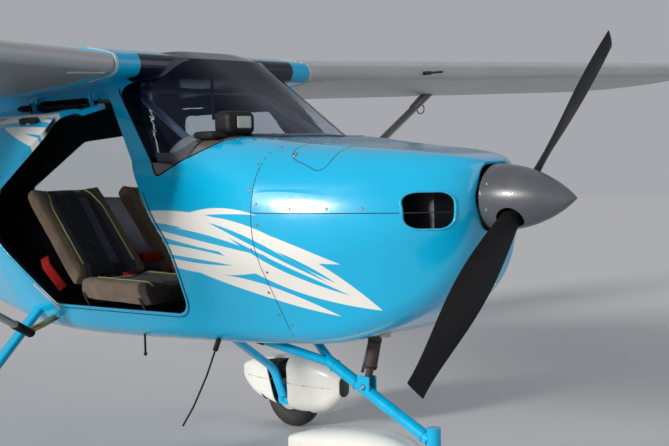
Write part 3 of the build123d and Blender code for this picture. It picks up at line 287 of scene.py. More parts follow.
def livery(name, shut_turn=0.0):
    """Gloss blue with white swooshes; black inside, navy round the windscreen and brown on the shelf under it."""
    material = gloss_blue(name, PANEL_COAT_ROUGH)
    tree = material.node_tree
    bsdf = tree.nodes["Principled BSDF"]
    spot = add_node(tree, "TexCoord")
    place, facing = spot.outputs["Object"], spot.outputs["Normal"]
    if shut_turn:
        place = axis_turn(tree, place, shut_turn, Center=(0, -DOOR_HINGE.y, DOOR_HINGE.z))
        facing = axis_turn(tree, facing, shut_turn)
    white, blue = [leaves_mask(tree, place, leaves) for leaves in (WHITE_LEAVES, BLUE_LEAVES)]
    recolour(material, times(tree, white, minus(tree, 1.0, blue)), SWOOSH_WHITE)

    apart = axes_of(tree, place)
    aim = axes_of(tree, facing)
    sideways = times(tree, apart["Y"], aim["Y"])
    over_axis = minus(tree, apart["Z"], AXIS_Z)
    outward = math_node(tree, "ADD", sideways, times(tree, over_axis, aim["Z"]))  # over 0 on the outer skin
    inside = ramp(tree, outward, LINING_FROM, LINING_FULL)
    recolour(material, inside, LINING_BLACK)

    high = ramp(tree, apart["Z"], SURROUND_Z - 0.002, SURROUND_Z + 0.002)
    middle = ramp(tree, math_node(tree, "ABSOLUTE", apart["Y"]), SURROUND_Y + 0.002, SURROUND_Y - 0.002)
    ahead = ramp(tree, apart["X"], SURROUND_X, SURROUND_X + 0.004)
    recolour(material, times(tree, high, middle, ahead), SURROUND_NAVY)

    foot_line = math_node(tree, "MULTIPLY_ADD", apart["X"], SCREEN_FOOT_SLOPE, SCREEN_FOOT_Z)
    post_line = math_node(tree, "MULTIPLY_ADD", apart["Z"], SCREEN_POST_SLOPE, -SCREEN_POST_X)
    over_foot = ramp(tree, minus(tree, apart["Z"], foot_line), 0.001, 0.003)
    before_post = ramp(tree, math_node(tree, "ADD", apart["X"], post_line), 0.001, 0.003)
    behind_nose = ramp(tree, apart["X"], SHELF_FRONT_X, SHELF_FRONT_X - 0.005)
    low = ramp(tree, apart["Z"], SHELF_TOP_Z, SHELF_TOP_Z - 0.005)
    recolour(material, times(tree, over_foot, before_post, behind_nose, low), SHELF_BROWN)

    rough = bsdf.inputs["Roughness"]
    mixed = add_node(tree, "MapRange", {
        "Value": inside, "To Min": rough.links[0].from_socket, "To Max": LINING_ROUGH})
    link(tree, mixed.outputs["Result"], rough)
    link(tree, ramp(tree, outward, LINING_FULL, LINING_FROM), bsdf.inputs["Coat Weight"])
    return material


CEILING_FRONT_X = 1.208


def roof_paint():
    """Blue outside, dark where the wing's centre section is the cabin's ceiling."""
    material = gloss_blue("roof_paint", ROOF_COAT_ROUGH)
    tree = material.node_tree
    spot = add_node(tree, "TexCoord")
    apart = axes_of(tree, spot.outputs["Object"])
    aim = axes_of(tree, spot.outputs["Normal"])
    middle = ramp(tree, math_node(tree, "ABSOLUTE", apart["Y"]), SURROUND_Y + 0.002, SURROUND_Y - 0.002)
    steep = ramp(tree, aim["Z"], 0.55, 0.5)
    nose = ramp(tree, apart["X"], CEILING_FRONT_X, CEILING_FRONT_X + 0.004)
    dark = math_node(tree, "MAXIMUM", steep, nose)
    recolour(material, times(tree, middle, dark), SURROUND_NAVY)
    return material


GLASS_IOR = 1.25  # low, since the sheets are thin
# Blue tint on the glass's reflections: a painted reflection of blue sky
GLASS_SKY_REFLECTION_TINT = (0.12, 0.3, 1.0)
GLASS_HAZE_ROUGH = (0.004, 0.03)
GLASS_REAR_BLACK = (0.003, 0.003, 0.006)


def glass_material(name, clear_tint, top_reflection_tint=None, top_reflection_z=None, rear_edge=None):
    """Clear sheet; dark navy comes in towards the top as painted reflection, and black along a sloping rear edge."""
    material, tree, bsdf = new_material(name)
    bsdf.inputs["Transmission Weight"].default_value = 1.0
    bsdf.inputs["IOR"].default_value = GLASS_IOR
    bsdf.inputs["Specular Tint"].default_value = (*GLASS_SKY_REFLECTION_TINT, 1)
    spot = add_node(tree, "TexCoord")
    haze = add_node(tree, "TexNoise", {"Vector": spot.outputs["Object"], "Scale": 5.0, "Detail": 3.0})
    rough = add_node(tree, "MapRange", {
        "Value": haze.outputs["Fac"], "To Min": GLASS_HAZE_ROUGH[0], "To Max": GLASS_HAZE_ROUGH[1]})
    link(tree, rough.outputs["Result"], bsdf.inputs["Roughness"])
    tint = mix_colour(tree, ramp(tree, haze.outputs["Fac"], 0.3, 0.7), (*clear_tint, 1),
                      (*[0.96 * value for value in clear_tint], 1))
    # Painted reflection: the glass turns dark navy towards the top
    if top_reflection_tint:
        axes = axes_of(tree, spot.outputs["Object"])
        tint = mix_colour(tree, ramp(tree, axes["Z"], *top_reflection_z), tint, (*top_reflection_tint, 1))
        (low_x, low_z), (high_x, high_z), low_wide, high_wide = rear_edge
        tall = high_z - low_z
        up = minus(tree, axes["Z"], low_z)
        line = math_node(tree, "ADD", times(tree, up, (high_x - low_x) / tall), low_x)
        wide = math_node(tree, "ADD", times(tree, up, (high_wide - low_wide) / tall), low_wide)
        edge = minus(tree, minus(tree, axes["X"], line), wide)
        tint = mix_colour(tree, ramp(tree, edge, 0.003, -0.003), tint, (*GLASS_REAR_BLACK, 1))
    link(tree, tint, bsdf.inputs["Base Color"])
    clear = add_node(tree, "BsdfTransparent", {"Color": tint})
    path = add_node(tree, "LightPath")
    mix = add_node(tree, "MixShader", {
        "Fac": path.outputs["Is Shadow Ray"], 1: bsdf.outputs["BSDF"], 2: clear.outputs["BSDF"]})
    link(tree, mix.outputs["Shader"], tree.nodes["Material Output"].inputs["Surface"])
    return material


RIM_SHARE = 0.47  # of the wheel's radius
TREAD_SHARE = 0.9
RIM_WHITE = (0.62, 0.62, 0.6)
GROOVE_BLACK = (0.006, 0.006, 0.006)


def wheel_rubber(name, centre, radius, groove_pitch):
    """Tyre with grooves round its tread and a pale painted rim."""
    material = mottled(name, (0.028, 0.028, 0.028), (0.018, 0.018, 0.018), (0.6, 0.85), 18.0, 260, 0.0005)
    tree = material.node_tree
    spot = add_node(tree, "TexCoord")
    offset = add_node(tree, "VectorMath", {0: spot.outputs["Object"], 1: centre}, operation="SUBTRACT")
    apart = axes_of(tree, offset.outputs["Vector"])
    flat = add_node(tree, "CombineXYZ", {"X": apart["X"], "Z": apart["Z"]})
    reach = add_node(tree, "VectorMath", {0: flat.outputs["Vector"]}, operation="LENGTH").outputs["Value"]
    recolour(material, ramp(tree, reach, (RIM_SHARE + 0.005) * radius, RIM_SHARE * radius), RIM_WHITE)
    wave = math_node(tree, "SINE", times(tree, apart["Y"], 2 * pi / groove_pitch))
    tread = ramp(tree, reach, TREAD_SHARE * radius, (TREAD_SHARE + 0.03) * radius)
    recolour(material, times(tree, ramp(tree, wave, 0.75, 0.95), tread), GROOVE_BLACK)
    return material


wing_paint = mottled("wing_paint", (0.44, 0.44, 0.45), (0.39, 0.39, 0.4), (0.3, 0.42), 2.0, 200, 0.0001)
tube_paint = mottled("tube_paint", (0.0, 0.43, 0.72), (0.0, 0.38, 0.66), (0.2, 0.3), 20.0, 300, 0.00003,
                     Coat_Weight=0.4, Specular_IOR_Level=0.3)
strut_metal = mottled("strut_metal", (0.42, 0.4, 0.36), (0.33, 0.31, 0.28), (0.3, 0.45), 9.0, 300, 0.00003,
                      Metallic=0.5)
engine_metal = mottled("engine_metal", (0.16, 0.16, 0.17), (0.08, 0.08, 0.09), (0.4, 0.6), 12.0, 90, 0.0006,
                       Metallic=0.8)
exhaust_steel = mottled("exhaust_steel", (0.66, 0.58, 0.44), (0.45, 0.38, 0.3), (0.35, 0.55), 30.0, 200, 0.0001,
                        Metallic=0.4)
shock_rubber = mottled("shock_rubber", (0.055, 0.04, 0.03), (0.03, 0.022, 0.018), (0.5, 0.7), 25.0, 300, 0.0003)
spat_white = mottled("spat_white", (0.8, 0.78, 0.72), (0.75, 0.73, 0.67), (0.2, 0.32), 4.0, 150, 0.00005,
                     Coat_Weight=0.4)
dark_plastic = mottled("dark_plastic", (0.01, 0.01, 0.011), (0.006, 0.006, 0.007), (0.45, 0.6), 20.0, 500, 0.0002,
                       Specular_IOR_Level=0.25)
shelf_grey = mottled("shelf_grey", (0.24, 0.23, 0.22), (0.19, 0.18, 0.17), (0.6, 0.8), 16.0, 700, 0.0004)
seat_board = mottled("seat_board", (0.02, 0.02, 0.022), (0.012, 0.012, 0.014), (0.6, 0.8), 16.0, 500, 0.0004)
grey_tube = mottled("grey_tube", (0.1, 0.13, 0.19), (0.07, 0.09, 0.14), (0.3, 0.45), 16.0, 300, 0.0001)
blade_black = mottled("blade_black", (0.009, 0.009, 0.011), (0.005, 0.005, 0.006), (0.4, 0.55), 10.0, 500, 0.00005,
                      Specular_IOR_Level=0.15)
spinner_grey = mottled("spinner_grey", (0.085, 0.09, 0.105), (0.065, 0.068, 0.08), (0.25, 0.38), 7.0, 400, 0.00003,
                       Coat_Weight=0.3)
seam_dark = mottled("seam_dark", (0.004, 0.03, 0.06), (0.003, 0.02, 0.045), (0.6, 0.8), 40.0, 400, 0.0001)
seal_black = mottled("seal_black", (0.007, 0.007, 0.009), (0.004, 0.004, 0.005), (0.5, 0.7), 40.0, 400, 0.0001,
                     Specular_IOR_Level=0.2)
screw_steel = mottled("screw_steel", (0.35, 0.36, 0.38), (0.2, 0.21, 0.23), (0.25, 0.45), 300.0, 900, 0.00005,
                      Metallic=0.9)
gold_plate = mottled("gold_plate", (0.5, 0.36, 0.14), (0.4, 0.28, 0.11), (0.35, 0.5), 60.0, 400, 0.0001,
                     Metallic=0.8)
lip_blue = mottled("lip_blue", (0.02, 0.42, 0.68), (0.01, 0.36, 0.6), (0.2, 0.3), 40.0, 300, 0.00003,
                   Coat_Weight=0.4)
red_web = mottled("red_web", (0.42, 0.008, 0.005), (0.27, 0.004, 0.003), (0.6, 0.8), 60.0, 1500, 0.0006,
                  Specular_IOR_Level=0.2)
navy_web = mottled("navy_web", (0.075, 0.08, 0.13), (0.045, 0.05, 0.085), (0.7, 0.85), 60.0, 1500, 0.0006,
                   Sheen_Weight=0.3)
piping_lime = mottled("piping_lime", (0.62, 0.66, 0.22), (0.5, 0.55, 0.17), (0.5, 0.7), 60.0, 1200, 0.0003)
pale_dial = mottled("pale_dial", (0.55, 0.54, 0.5), (0.48, 0.47, 0.43), (0.3, 0.5), 60.0, 600, 0.0001)
blue_paint = livery("blue_paint")
open_door_paint = livery("open_door_paint", DOOR_OPEN_TURN)
# Windscreen: the navy towards its top is painted reflection; the black along its rear edge is the glass's own border
screen_tint_and_reflection = glass_material("screen_tint_and_reflection", (0.72, 0.78, 0.84), (0.006, 0.016, 0.08), (1.76, 1.87),
                             ((1.504, 1.452), (1.138, 1.838), 0.02, 0.11))
window_clear = glass_material("window_clear", (0.86, 0.9, 0.9))

# Seats: a tan cover whose middle is navy and then black, by distance from the seat's own centre line
SEAT_Y = 0.262
NAVY_HALF = 0.142
BLACK_HALF = 0.098
COVER_NAVY = (0.05, 0.052, 0.09)
COVER_BLACK = (0.008, 0.009, 0.016)
FRONT_EDGE_X = 1.2
FRONT_EDGE_BROWN = (0.03, 0.022, 0.016)


def seat_cloth(name, light, dark, front_edge=False):
    """Woven cover with soft folds; a seat base's front edge is dark brown."""
    material = mottled(name, light, dark, (0.75, 0.92), 14.0, 900, 0.0006, Sheen_Weight=0.2)
    tree = material.node_tree
    place = add_node(tree, "TexCoord").outputs["Object"]
    apart = axes_of(tree, place)
    side = math_node(tree, "ABSOLUTE", apart["Y"])
    away = math_node(tree, "ABSOLUTE", minus(tree, side, SEAT_Y))
    recolour(material, ramp(tree, away, NAVY_HALF + 0.001, NAVY_HALF), COVER_NAVY)
    recolour(material, ramp(tree, away, BLACK_HALF + 0.02, BLACK_HALF), COVER_BLACK)
    if front_edge:
        recolour(material, ramp(tree, apart["X"], FRONT_EDGE_X, FRONT_EDGE_X + 0.012), FRONT_EDGE_BROWN)
    stretch = add_node(tree, "VectorMath", {0: place, 1: (3.0, 9.0, 1.4)}, operation="MULTIPLY")
    folds = add_node(tree, "TexNoise", {
        "Vector": stretch.outputs["Vector"], "Scale": 3.2, "Detail": 2.0, "Distortion": 1.2})
    normal = tree.nodes["Principled BSDF"].inputs["Normal"]
    bump = add_node(tree, "Bump", {
        "Height": folds.outputs["Fac"], "Distance": 0.02, "Strength": 0.7, "Normal": normal.links[0].from_socket})
    link(tree, bump.outputs["Normal"], normal)
    return material


seat_back_cloth = seat_cloth("seat_back_cloth", (0.23, 0.16, 0.11), (0.16, 0.11, 0.075))
seat_base_cloth = seat_cloth("seat_base_cloth", (0.24, 0.17, 0.12), (0.17, 0.12, 0.085), front_edge=True)

SLOT_MATERIALS = {
    "blue_composite": blue_paint,
    "wing_skin": wing_paint,
    "clear_screen": window_clear,
    "strut_metal": strut_metal,
    "engine_metal": engine_metal,
    "exhaust_steel": exhaust_steel,
    "blue_tube": tube_paint,
    "shock_sleeve": shock_rubber,
    "white_spat": spat_white,
    "tyre_rubber": seal_black,
    "seat_cover": seat_back_cloth,
    "seat_panel": seat_board,
    "panel_grey": shelf_grey,
    "grey_tube": grey_tube,
    "black_plastic": dark_plastic,
    "propeller_black": blade_black,
    "spinner_grey": spinner_grey,
}
NOSE_AXLE = at(935, 0, 185)
MAIN_AXLE = at(2540, 1100, 190)
MIRROR = Vector((1, -1, 1))
NODE_MATERIALS = {
    "windscreen": screen_tint_and_reflection,
    "door_right": open_door_paint,
    "centre_section": roof_paint(),
    "nose_wheel": wheel_rubber("nose_tyre", NOSE_AXLE, 0.185, 0.022),
    "main_wheel_left": wheel_rubber("left_tyre", MAIN_AXLE, 0.19, 0.024),
    "main_wheel_right": wheel_rubber("right_tyre", MAIN_AXLE * MIRROR, 0.19, 0.024),
}
for entry in frame["record"]["subparts"]:
    cad_mesh = nodes[entry["node"]].data
    cad_mesh.materials.clear()
    cad_mesh.materials.append(NODE_MATERIALS.get(entry["node"], SLOT_MATERIALS[entry["material_slot"]]))


# Mesh helpers
def add_piece(name, verts, faces, material, slot, body="airframe"):
    mesh = bpy.data.meshes.new(name)
    mesh.from_pydata([tuple(vert) for vert in verts], [], faces)
    mesh.materials.append(material)
    for polygon in mesh.polygons:
        polygon.use_smooth = True
    piece = bpy.data.objects.new(name, mesh)
    bpy.context.scene.collection.objects.link(piece)
    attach(piece, body)
    return piece


def tree_of(meshes):
    """Search tree over several meshes, for what lies on their skins."""
    verts, faces = [], []
    for mesh in meshes:
        start = len(verts)
        verts += [vertex.co.copy() for vertex in mesh.vertices]
        faces += [[start + index for index in polygon.vertices] for polygon in mesh.polygons]
    return BVHTree.FromPolygons(verts, faces)


def surface_of(*names):
    return tree_of([nodes[name].data for name in names])


def onto(tree, start, direction):
    """Point and outward normal where a ray meets the skin, or None."""
    place, normal, _, _ = tree.ray_cast(start, direction.normalized())
    if place is None:
        return None
    return place, -normal if normal.dot(direction) > 0 else normal


def found(hits):
    return [hit for hit in hits if hit]


def from_side(tree, route, side):
    """Hits on the skin, seen from one side, for (station, height) pairs."""
    return found([onto(tree, at(station, side * 1500, height), Vector((0, -side, 0))) for station, height in route])


def from_above(tree, route):
    """Hits on the skin, seen from above, for (station, distance to port) pairs."""
    return found([onto(tree, at(station, across, 2400), DOWN) for station, across in route])


def from_ahead(tree, station, route):
    """Hits on the skin, seen from ahead of the station, for (distance to port, height) pairs."""
    return found([onto(tree, at(station, across, height), AFT) for across, height in route])


def dense(route, step, closed=False):
    """The same route with points no further apart than the step, in millimetres."""
    pairs = zip(route, route[1:] + route[:1] if closed else route[1:])
    result = []
    for first, second in pairs:
        count = max(1, round(hypot(*[b - a for a, b in zip(first, second)]) / step))
        result += [tuple(a + (b - a) * index / count for a, b in zip(first, second)) for index in range(count)]
    return result if closed else result + [route[-1]]


CORNER_STEPS = 6


def rounded(corners, grow=0.0):
    """Closed outline through (station, height, radius) corners, grown outwards."""
    points = []
    count = len(corners)
    for index, (x, z, radius) in enumerate(corners):
        here = Vector((x, z))
        before = (Vector(corners[index - 1][:2]) - here).normalized()
        after = (Vector(corners[(index + 1) % count][:2]) - here).normalized()
        half = before.angle(after) / 2
        centre = here + (before + after).normalized() * radius / sin(half)
        start = here + before * radius / (sin(half) / cos(half)) - centre
        end = here + after * radius / (sin(half) / cos(half)) - centre
        turn = start.angle_signed(end)
        for step in range(CORNER_STEPS + 1):
            arm = start.copy()
            arm.rotate(Matrix.Rotation(-turn * step / CORNER_STEPS, 2))
            points.append(centre + arm * (1 + grow / radius))
    return [tuple(point) for point in points]


def circle(centre, across, beside, radius, step=15):
    """Points round a centre, in the plane of two unit vectors, a step of degrees apart."""
    return [centre + (across * cos(radians(turn)) + beside * sin(radians(turn))) * radius
            for turn in range(0, 360, step)]


def sweep(name, route, section, material, slot, body="airframe", closed=False, normals=None):
    """Skin along a route; the section gives offsets along the side and the normal at each point."""
    verts, faces = [], []
    count, wide = len(route), len(section)
    lift = Vector((0, 0, 1))
    for index, place in enumerate(route):
        ahead = route[(index + 1) % count] if closed or index < count - 1 else place
        behind = route[index - 1] if closed or index else place
        heading = (ahead - behind).normalized()
        normal = normals[index] if normals else lift - heading * lift.dot(heading)
        if normal.length < 1e-4:
            normal = heading.orthogonal()
        normal = (normal - heading * normal.dot(heading)).normalized()
        lift = normal if not normals else lift
        side = heading.cross(normal)
        verts += [place + side * across + normal * high for across, high in section]
    for ring in range(count if closed else count - 1):
        after = (ring + 1) % count
        for corner in range(wide):
            beside = (corner + 1) % wide
            faces.append([ring * wide + corner, ring * wide + beside, after * wide + beside, after * wide + corner])
    if not closed:
        faces += [list(range(wide))[::-1], [(count - 1) * wide + corner for corner in range(wide)]]
    return add_piece(name, verts, faces, material, slot, body)


def oval_section(wide, high, sides):
    return [(wide * cos(2 * pi * side / sides), high * sin(2 * pi * side / sides)) for side in range(sides)]


def round_section(radius, sides=8):
    return oval_section(radius, radius, sides)


def tape_section(width, height):
    half = width / 2
    return [(-half, -height), (-half, 0.3 * height), (-0.7 * half, height), (0.7 * half, height),
            (half, 0.3 * height), (half, -height)]


def lay_tape(name, hits, width, height, material, slot, body="airframe", closed=False):
    """Flat strip that lies on the skin at the given hits."""
    return sweep(name, [place for place, _ in hits], tape_section(width, height), material, slot, body, closed,
                 [normal for _, normal in hits])


def lathe(spots, profile, sides):
    """Turned shapes on (place, axis) spots; the profile gives radius and height along the axis."""
    verts, faces = [], []
    for place, axis in spots:
        side = axis.orthogonal().normalized()
        beside = axis.cross(side).normalized()
        start = len(verts)
        for radius, height in profile:
            for step in range(sides):
                angle = 2 * pi * step / sides
                verts.append(place + axis * height + side * radius * cos(angle) + beside * radius * sin(angle))
        for ring in range(len(profile) - 1):
            for step in range(sides):
                beyond = (step + 1) % sides
                faces.append([start + ring * sides + step, start + ring * sides + beyond,
                              start + (ring + 1) * sides + beyond, start + (ring + 1) * sides + step])
        faces.append([start + (len(profile) - 1) * sides + step for step in range(sides)])
        faces.append([start + step for step in reversed(range(sides))])
    return verts, faces


def screw_heads(name, spots, radius, slot="strut_metal", body="airframe"):
    """Domed heads with a round recess, seated in the skin."""
    profile = [(radius, -0.4 * radius), (radius, 0.12 * radius), (0.8 * radius, 0.34 * radius),
               (0.42 * radius, 0.42 * radius), (0.34 * radius, 0.12 * radius), (0.1 * radius, 0.1 * radius)]
    return add_piece(name, *lathe(spots, profile, 14), screw_steel, slot, body)


def soft_block(low, high, corner, bulge, shape=None):
    """Closed form with rounded edges between two corners, as a subdivided cage bent by a shape function."""
    cage = bmesh.new()
    bmesh.ops.create_cube(cage, size=2)
    bmesh.ops.subdivide_edges(cage, edges=cage.edges[:], cuts=7, use_grid_fill=True)
    centre, half = (low + high) / 2, (high - low) / 2
    for vertex in cage.verts:
        unit = vertex.co.copy()
        pulled = Vector([value * (1 - (bulge if abs(value) > 0.99 else 0) *
                                  sum(other * other for other in unit if other is not value) / 2) for value in unit])
        place = Vector([pulled[axis] * half[axis] for axis in range(3)])
        inner = Vector([max(-half[axis] + corner, min(half[axis] - corner, place[axis])) for axis in range(3)])
        if (place - inner).length > corner:
            place = inner + (place - inner).normalized() * corner
        vertex.co = shape(centre + place) if shape else centre + place
    verts = [vertex.co.copy() for vertex in cage.verts]
    faces = [[vertex.index for vertex in face.verts] for face in cage.faces]
    cage.free()
    return verts, faces


def moulding(name, low, high, corner, bulge, material, slot, place=Vector()):
    """Small moulded piece between two corners, shifted to its place."""
    verts, faces = soft_block(low, high, corner, bulge)
    return add_piece(name, [vert + place for vert in verts], faces, material, slot)


hull_skin = surface_of("cabin_shell", "cowl_upper", "cowl_lower", "tail_cone")
cowl_skin = surface_of("cowl_upper", "cowl_lower")
screen_skin = surface_of("windscreen", "cabin_shell")

# Radii of the fasteners
PANEL_SCREW = 0.006
SCREEN_SCREW = 0.005
SPAT_SCREW = 0.0045
HUB_SCREW = 0.0055
SPAR_RIVET = 0.004
LARGE_HEAD = 0.011
FITTING_BOLT = 0.012
DOOR_BOSS = 0.016
FILLER_CAP = 0.034

# Seams and fasteners of the cowl
COWL_REAR = 1060
COWL_SPLIT_Z = 1318
SEAM_WIDTH, SEAM_HEIGHT = 0.0035, 0.0003
SEAM_STEP, EDGE_STEP, LIP_STEP, DOOR_STEP = 20, 12, 8, 22
COWL_SIDE_SPOTS = ((1040, 880), (1040, 1093), (1036, 1274), (1042, 1352), (900, 1334), (760, 1334), (634, 1334),
                   (480, 1334), (1078, 920), (1078, 1010), (1078, 1180), (1078, 1400), (1078, 1500))
for side, word in SIDES:
    for part, skin, route in (("rear", hull_skin, [(COWL_REAR, 800), (COWL_REAR, 1560)]),
                              ("split", cowl_skin, [(COWL_REAR, COWL_SPLIT_Z), (375, COWL_SPLIT_Z)])):
        seam = from_side(skin, dense(route, SEAM_STEP), side)
        lay_tape("cowl_%s_seam_%s" % (part, word), seam, SEAM_WIDTH, SEAM_HEIGHT, seam_dark, "blue_composite")
    screw_heads("cowl_fasteners_" + word, from_side(hull_skin, COWL_SIDE_SPOTS, side), PANEL_SCREW)
COWL_TOP_SPOTS = [(1042, across) for across in (-400, -250, -93, 93, 250, 400)]
screw_heads("cowl_top_fasteners", from_above(hull_skin, COWL_TOP_SPOTS), PANEL_SCREW)

# Oil hatch on the upper cowl, its corners by station, distance to starboard and radius
HATCH = ((795, 262, 30), (975, 262, 30), (975, 432, 45), (795, 432, 45))
HATCH_GAP_WIDTH = 0.003
HATCH_LATCH = (955, -415)
HATCH_HINGE = [(station, -256) for station in range(820, 960, 10)]
hatch_gap = from_above(cowl_skin, [(station, -across) for station, across in dense(rounded(HATCH), EDGE_STEP, True)])
lay_tape("hatch_gap", hatch_gap, HATCH_GAP_WIDTH, SEAM_HEIGHT, seam_dark, "blue_composite", closed=True)
screw_heads("hatch_latch", from_above(cowl_skin, [HATCH_LATCH]), LARGE_HEAD)
lay_tape("hatch_hinge", from_above(cowl_skin, HATCH_HINGE), 0.008, 0.0022, lip_blue, "blue_composite")

# Cooling intakes: a rolled lip round each mouth, whose corners are by distance off the middle, height and radius
INTAKE = ((204, 1261, 40), (332, 1261, 40), (332, 1389, 40), (204, 1389, 40))
INTAKE_GROW = 3
for side, word in SIDES:
    mouth = rounded([(side * across, height, radius) for across, height, radius in INTAKE], INTAKE_GROW)
    lip = from_ahead(cowl_skin, 0, dense(mouth, LIP_STEP, True))
    sweep("intake_lip_" + word, [place for place, _ in lip], round_section(0.004), lip_blue, "blue_composite",
          closed=True)

# Windscreen: seal round the glass, screws along its foot; its corners are by station, height and radius
SCREEN_EDGE = ((1300, 1604, 60), (1596, 1452, 34), (1962, 1838, 42), (1700, 2030, 10))
SCREEN_MIDDLE = (1560, 1720)
SEAL_WIDTH, SEAL_HEIGHT = 0.008, 0.0014
SIDE_FOOT_TOP_Z, SIDE_POST_TOP_Z = 1600, 1826
SIDE_SCREWS = ((1400, 1534), (1490, 1487))
foot_corner = SCREEN_EDGE[1]


def on_screen_side(station, height):
    """Whether a spot of the edge is on its sloping foot or on its rear post."""
    behind = station - foot_corner[0] > 0.7 * (height - foot_corner[1])
    return height < SIDE_FOOT_TOP_Z or behind and height < SIDE_POST_TOP_Z


screen_line = [spot for spot in dense(rounded(SCREEN_EDGE), EDGE_STEP, True) if on_screen_side(*spot)]
screen_line.sort(key=lambda spot: atan2(spot[1] - SCREEN_MIDDLE[1], spot[0] - SCREEN_MIDDLE[0]))
for side, word in SIDES:
    edge = [hit for hit in from_side(screen_skin, screen_line, side) if abs(hit[0].y) > 0.3]
    lay_tape("screen_side_seal_" + word, edge, SEAL_WIDTH, SEAL_HEIGHT, seal_black, "black_plastic")
front = from_ahead(screen_skin, 900, [(across, 1607) for across in range(-430, 431, 20)])
lay_tape("screen_front_seal", front, SEAL_WIDTH, SEAL_HEIGHT, seal_black, "black_plastic")
foot_spots = from_ahead(screen_skin, 900, [(across, 1596) for across in range(-400, 401, 100)])
for side, _ in SIDES:
    foot_spots += from_side(screen_skin, SIDE_SCREWS, side)
screw_heads("screen_screws", foot_spots, SCREEN_SCREW)

# Doorway: a rolled lip and a fine seam round each frame, and the scuff plate on the right-hand sill
DOOR_OUTLINE = ((1580, 884, 95), (1510, 1165, 160), (2000, 1786, 24), (2740, 1786, 60), (2890, 1200, 140),
                (2530, 862, 60))
DOOR_MIDDLE = (2150, 1400)
LIP_TOP_Z = 1640
LIP_END_ANGLE = 0.9
SCUFF_ROUTE = [(2520, 838), (2660, 950)]


def round_door(spot):
    """Angle of a (station, height) spot about the doorway's middle."""
    return atan2(spot[1] - DOOR_MIDDLE[1], spot[0] - DOOR_MIDDLE[0])


for side, word in SIDES:
    for grow, radius, finish in ((9, 0.003, lip_blue), (16, 0.0016, seam_dark)):
        ring = [spot for spot in dense(rounded(DOOR_OUTLINE, grow), DOOR_STEP, True)
                if spot[1] < LIP_TOP_Z and (spot[1] < DOOR_MIDDLE[1] or spot[0] < 2000) and
                round_door(spot) < LIP_END_ANGLE]
        hits = from_side(hull_skin, sorted(ring, key=round_door), side)
        lay_tape("doorway_lip_%s_%d" % (word, grow), [hit for hit in hits if abs(hit[0].y) > 0.3], 2.2 * radius,
                 radius, finish, "blue_composite")
lay_tape("sill_scuff_plate", from_side(hull_skin, dense(SCUFF_ROUTE, 15), -1), 0.034, 0.0014, pale_dial,
         "strut_metal")

# Rubber seal inside each doorway: its root stands on the frame and its flange reaches over the gap
inner_skin = surface_of("door_left", "cabin_shell", "tail_cone", "centre_section")
for part, grow, room, section in (("flange", -2, 0.0075, tape_section(0.026, 0.0012)),
                                  ("root", 9, 0.0035, round_section(0.0045))):
    seal = found([onto(inner_skin, at(station, 0, height), PORT)
                  for station, height in dense(rounded(DOOR_OUTLINE, grow), DOOR_STEP, True)])
    seal = [place - Vector((0, room, 0)) for place, _ in seal if place.y > 0.3]
    for side, word in SIDES:
        sweep("door_seal_%s_%s" % (part, word), [place * Vector((1, side, 1)) for place in seal], section, seal_black,
              "black_plastic", closed=True, normals=[Vector((0, side, 0))] * len(seal))

# Wing roots: a pale gap seal round each leading edge, a short pale strip under each root that is a painted glint of
# the sun, and a row of screws
ROOT_MIDDLE = (2010, 568, 1940)
ROOT_SCREWS_Y = 548
GLINT_STRIP_START = (1872, 600)
for side, word in SIDES:
    root_skin = surface_of("wing_" + word, "centre_section")
    station, across, height = ROOT_MIDDLE
    seal = []
    for degrees in range(75, 286, 6):
        arm = Vector((-cos(radians(degrees)), 0, sin(radians(degrees))))
        seal.append(onto(root_skin, at(station, side * across, height) + arm * 0.5, -arm))
    lay_tape("root_seal_" + word, found(seal), 0.016, 0.0018, pale_dial, "wing_skin")
    # Painted highlight: a pale strip laid on the wing's underside where the sun glints
    glint_hits = [onto(root_skin, at(GLINT_STRIP_START[0] + 2.6 * step, side * (GLINT_STRIP_START[1] + 6 * step), 1500), -DOWN)
             for step in range(0, 26, 2)]
    lay_tape("glint_strip_" + word, found(glint_hits), 0.014, 0.006, pale_dial, "wing_skin")
    row = [(station, side * ROOT_SCREWS_Y) for station in (1900, 2100, 2350, 2600)]
    screw_heads("root_screws_" + word, from_above(root_skin, row), PANEL_SCREW)

# Wing skins: rib tapes, spar rivets and filler caps
RIBS = (960, 1500, 2040, 2620, 3160, 3700, 4380)
SPAR_STATION = 2120
FILLER_SPOT = (2260, 760)
TAPE_WIDTH, TAPE_HEIGHT = 0.022, 0.0007
for side, word in SIDES:
    wing_skin = surface_of("wing_" + word)
    for number, out in enumerate(RIBS):
        chord = from_above(wing_skin, [(station, side * out) for station in range(1880, 2741, 40)])
        lay_tape("rib_tape_%s_%d" % (word, number), chord, TAPE_WIDTH, TAPE_HEIGHT, wing_paint, "wing_skin")
    spar = from_above(wing_skin, [(SPAR_STATION, side * out) for out in range(620, 4500, 55)])
    screw_heads("spar_rivets_" + word, spar, SPAR_RIVET, slot="wing_skin")
    screw_heads("filler_cap_" + word, from_above(wing_skin, [(FILLER_SPOT[0], side * FILLER_SPOT[1])]),
                FILLER_CAP)

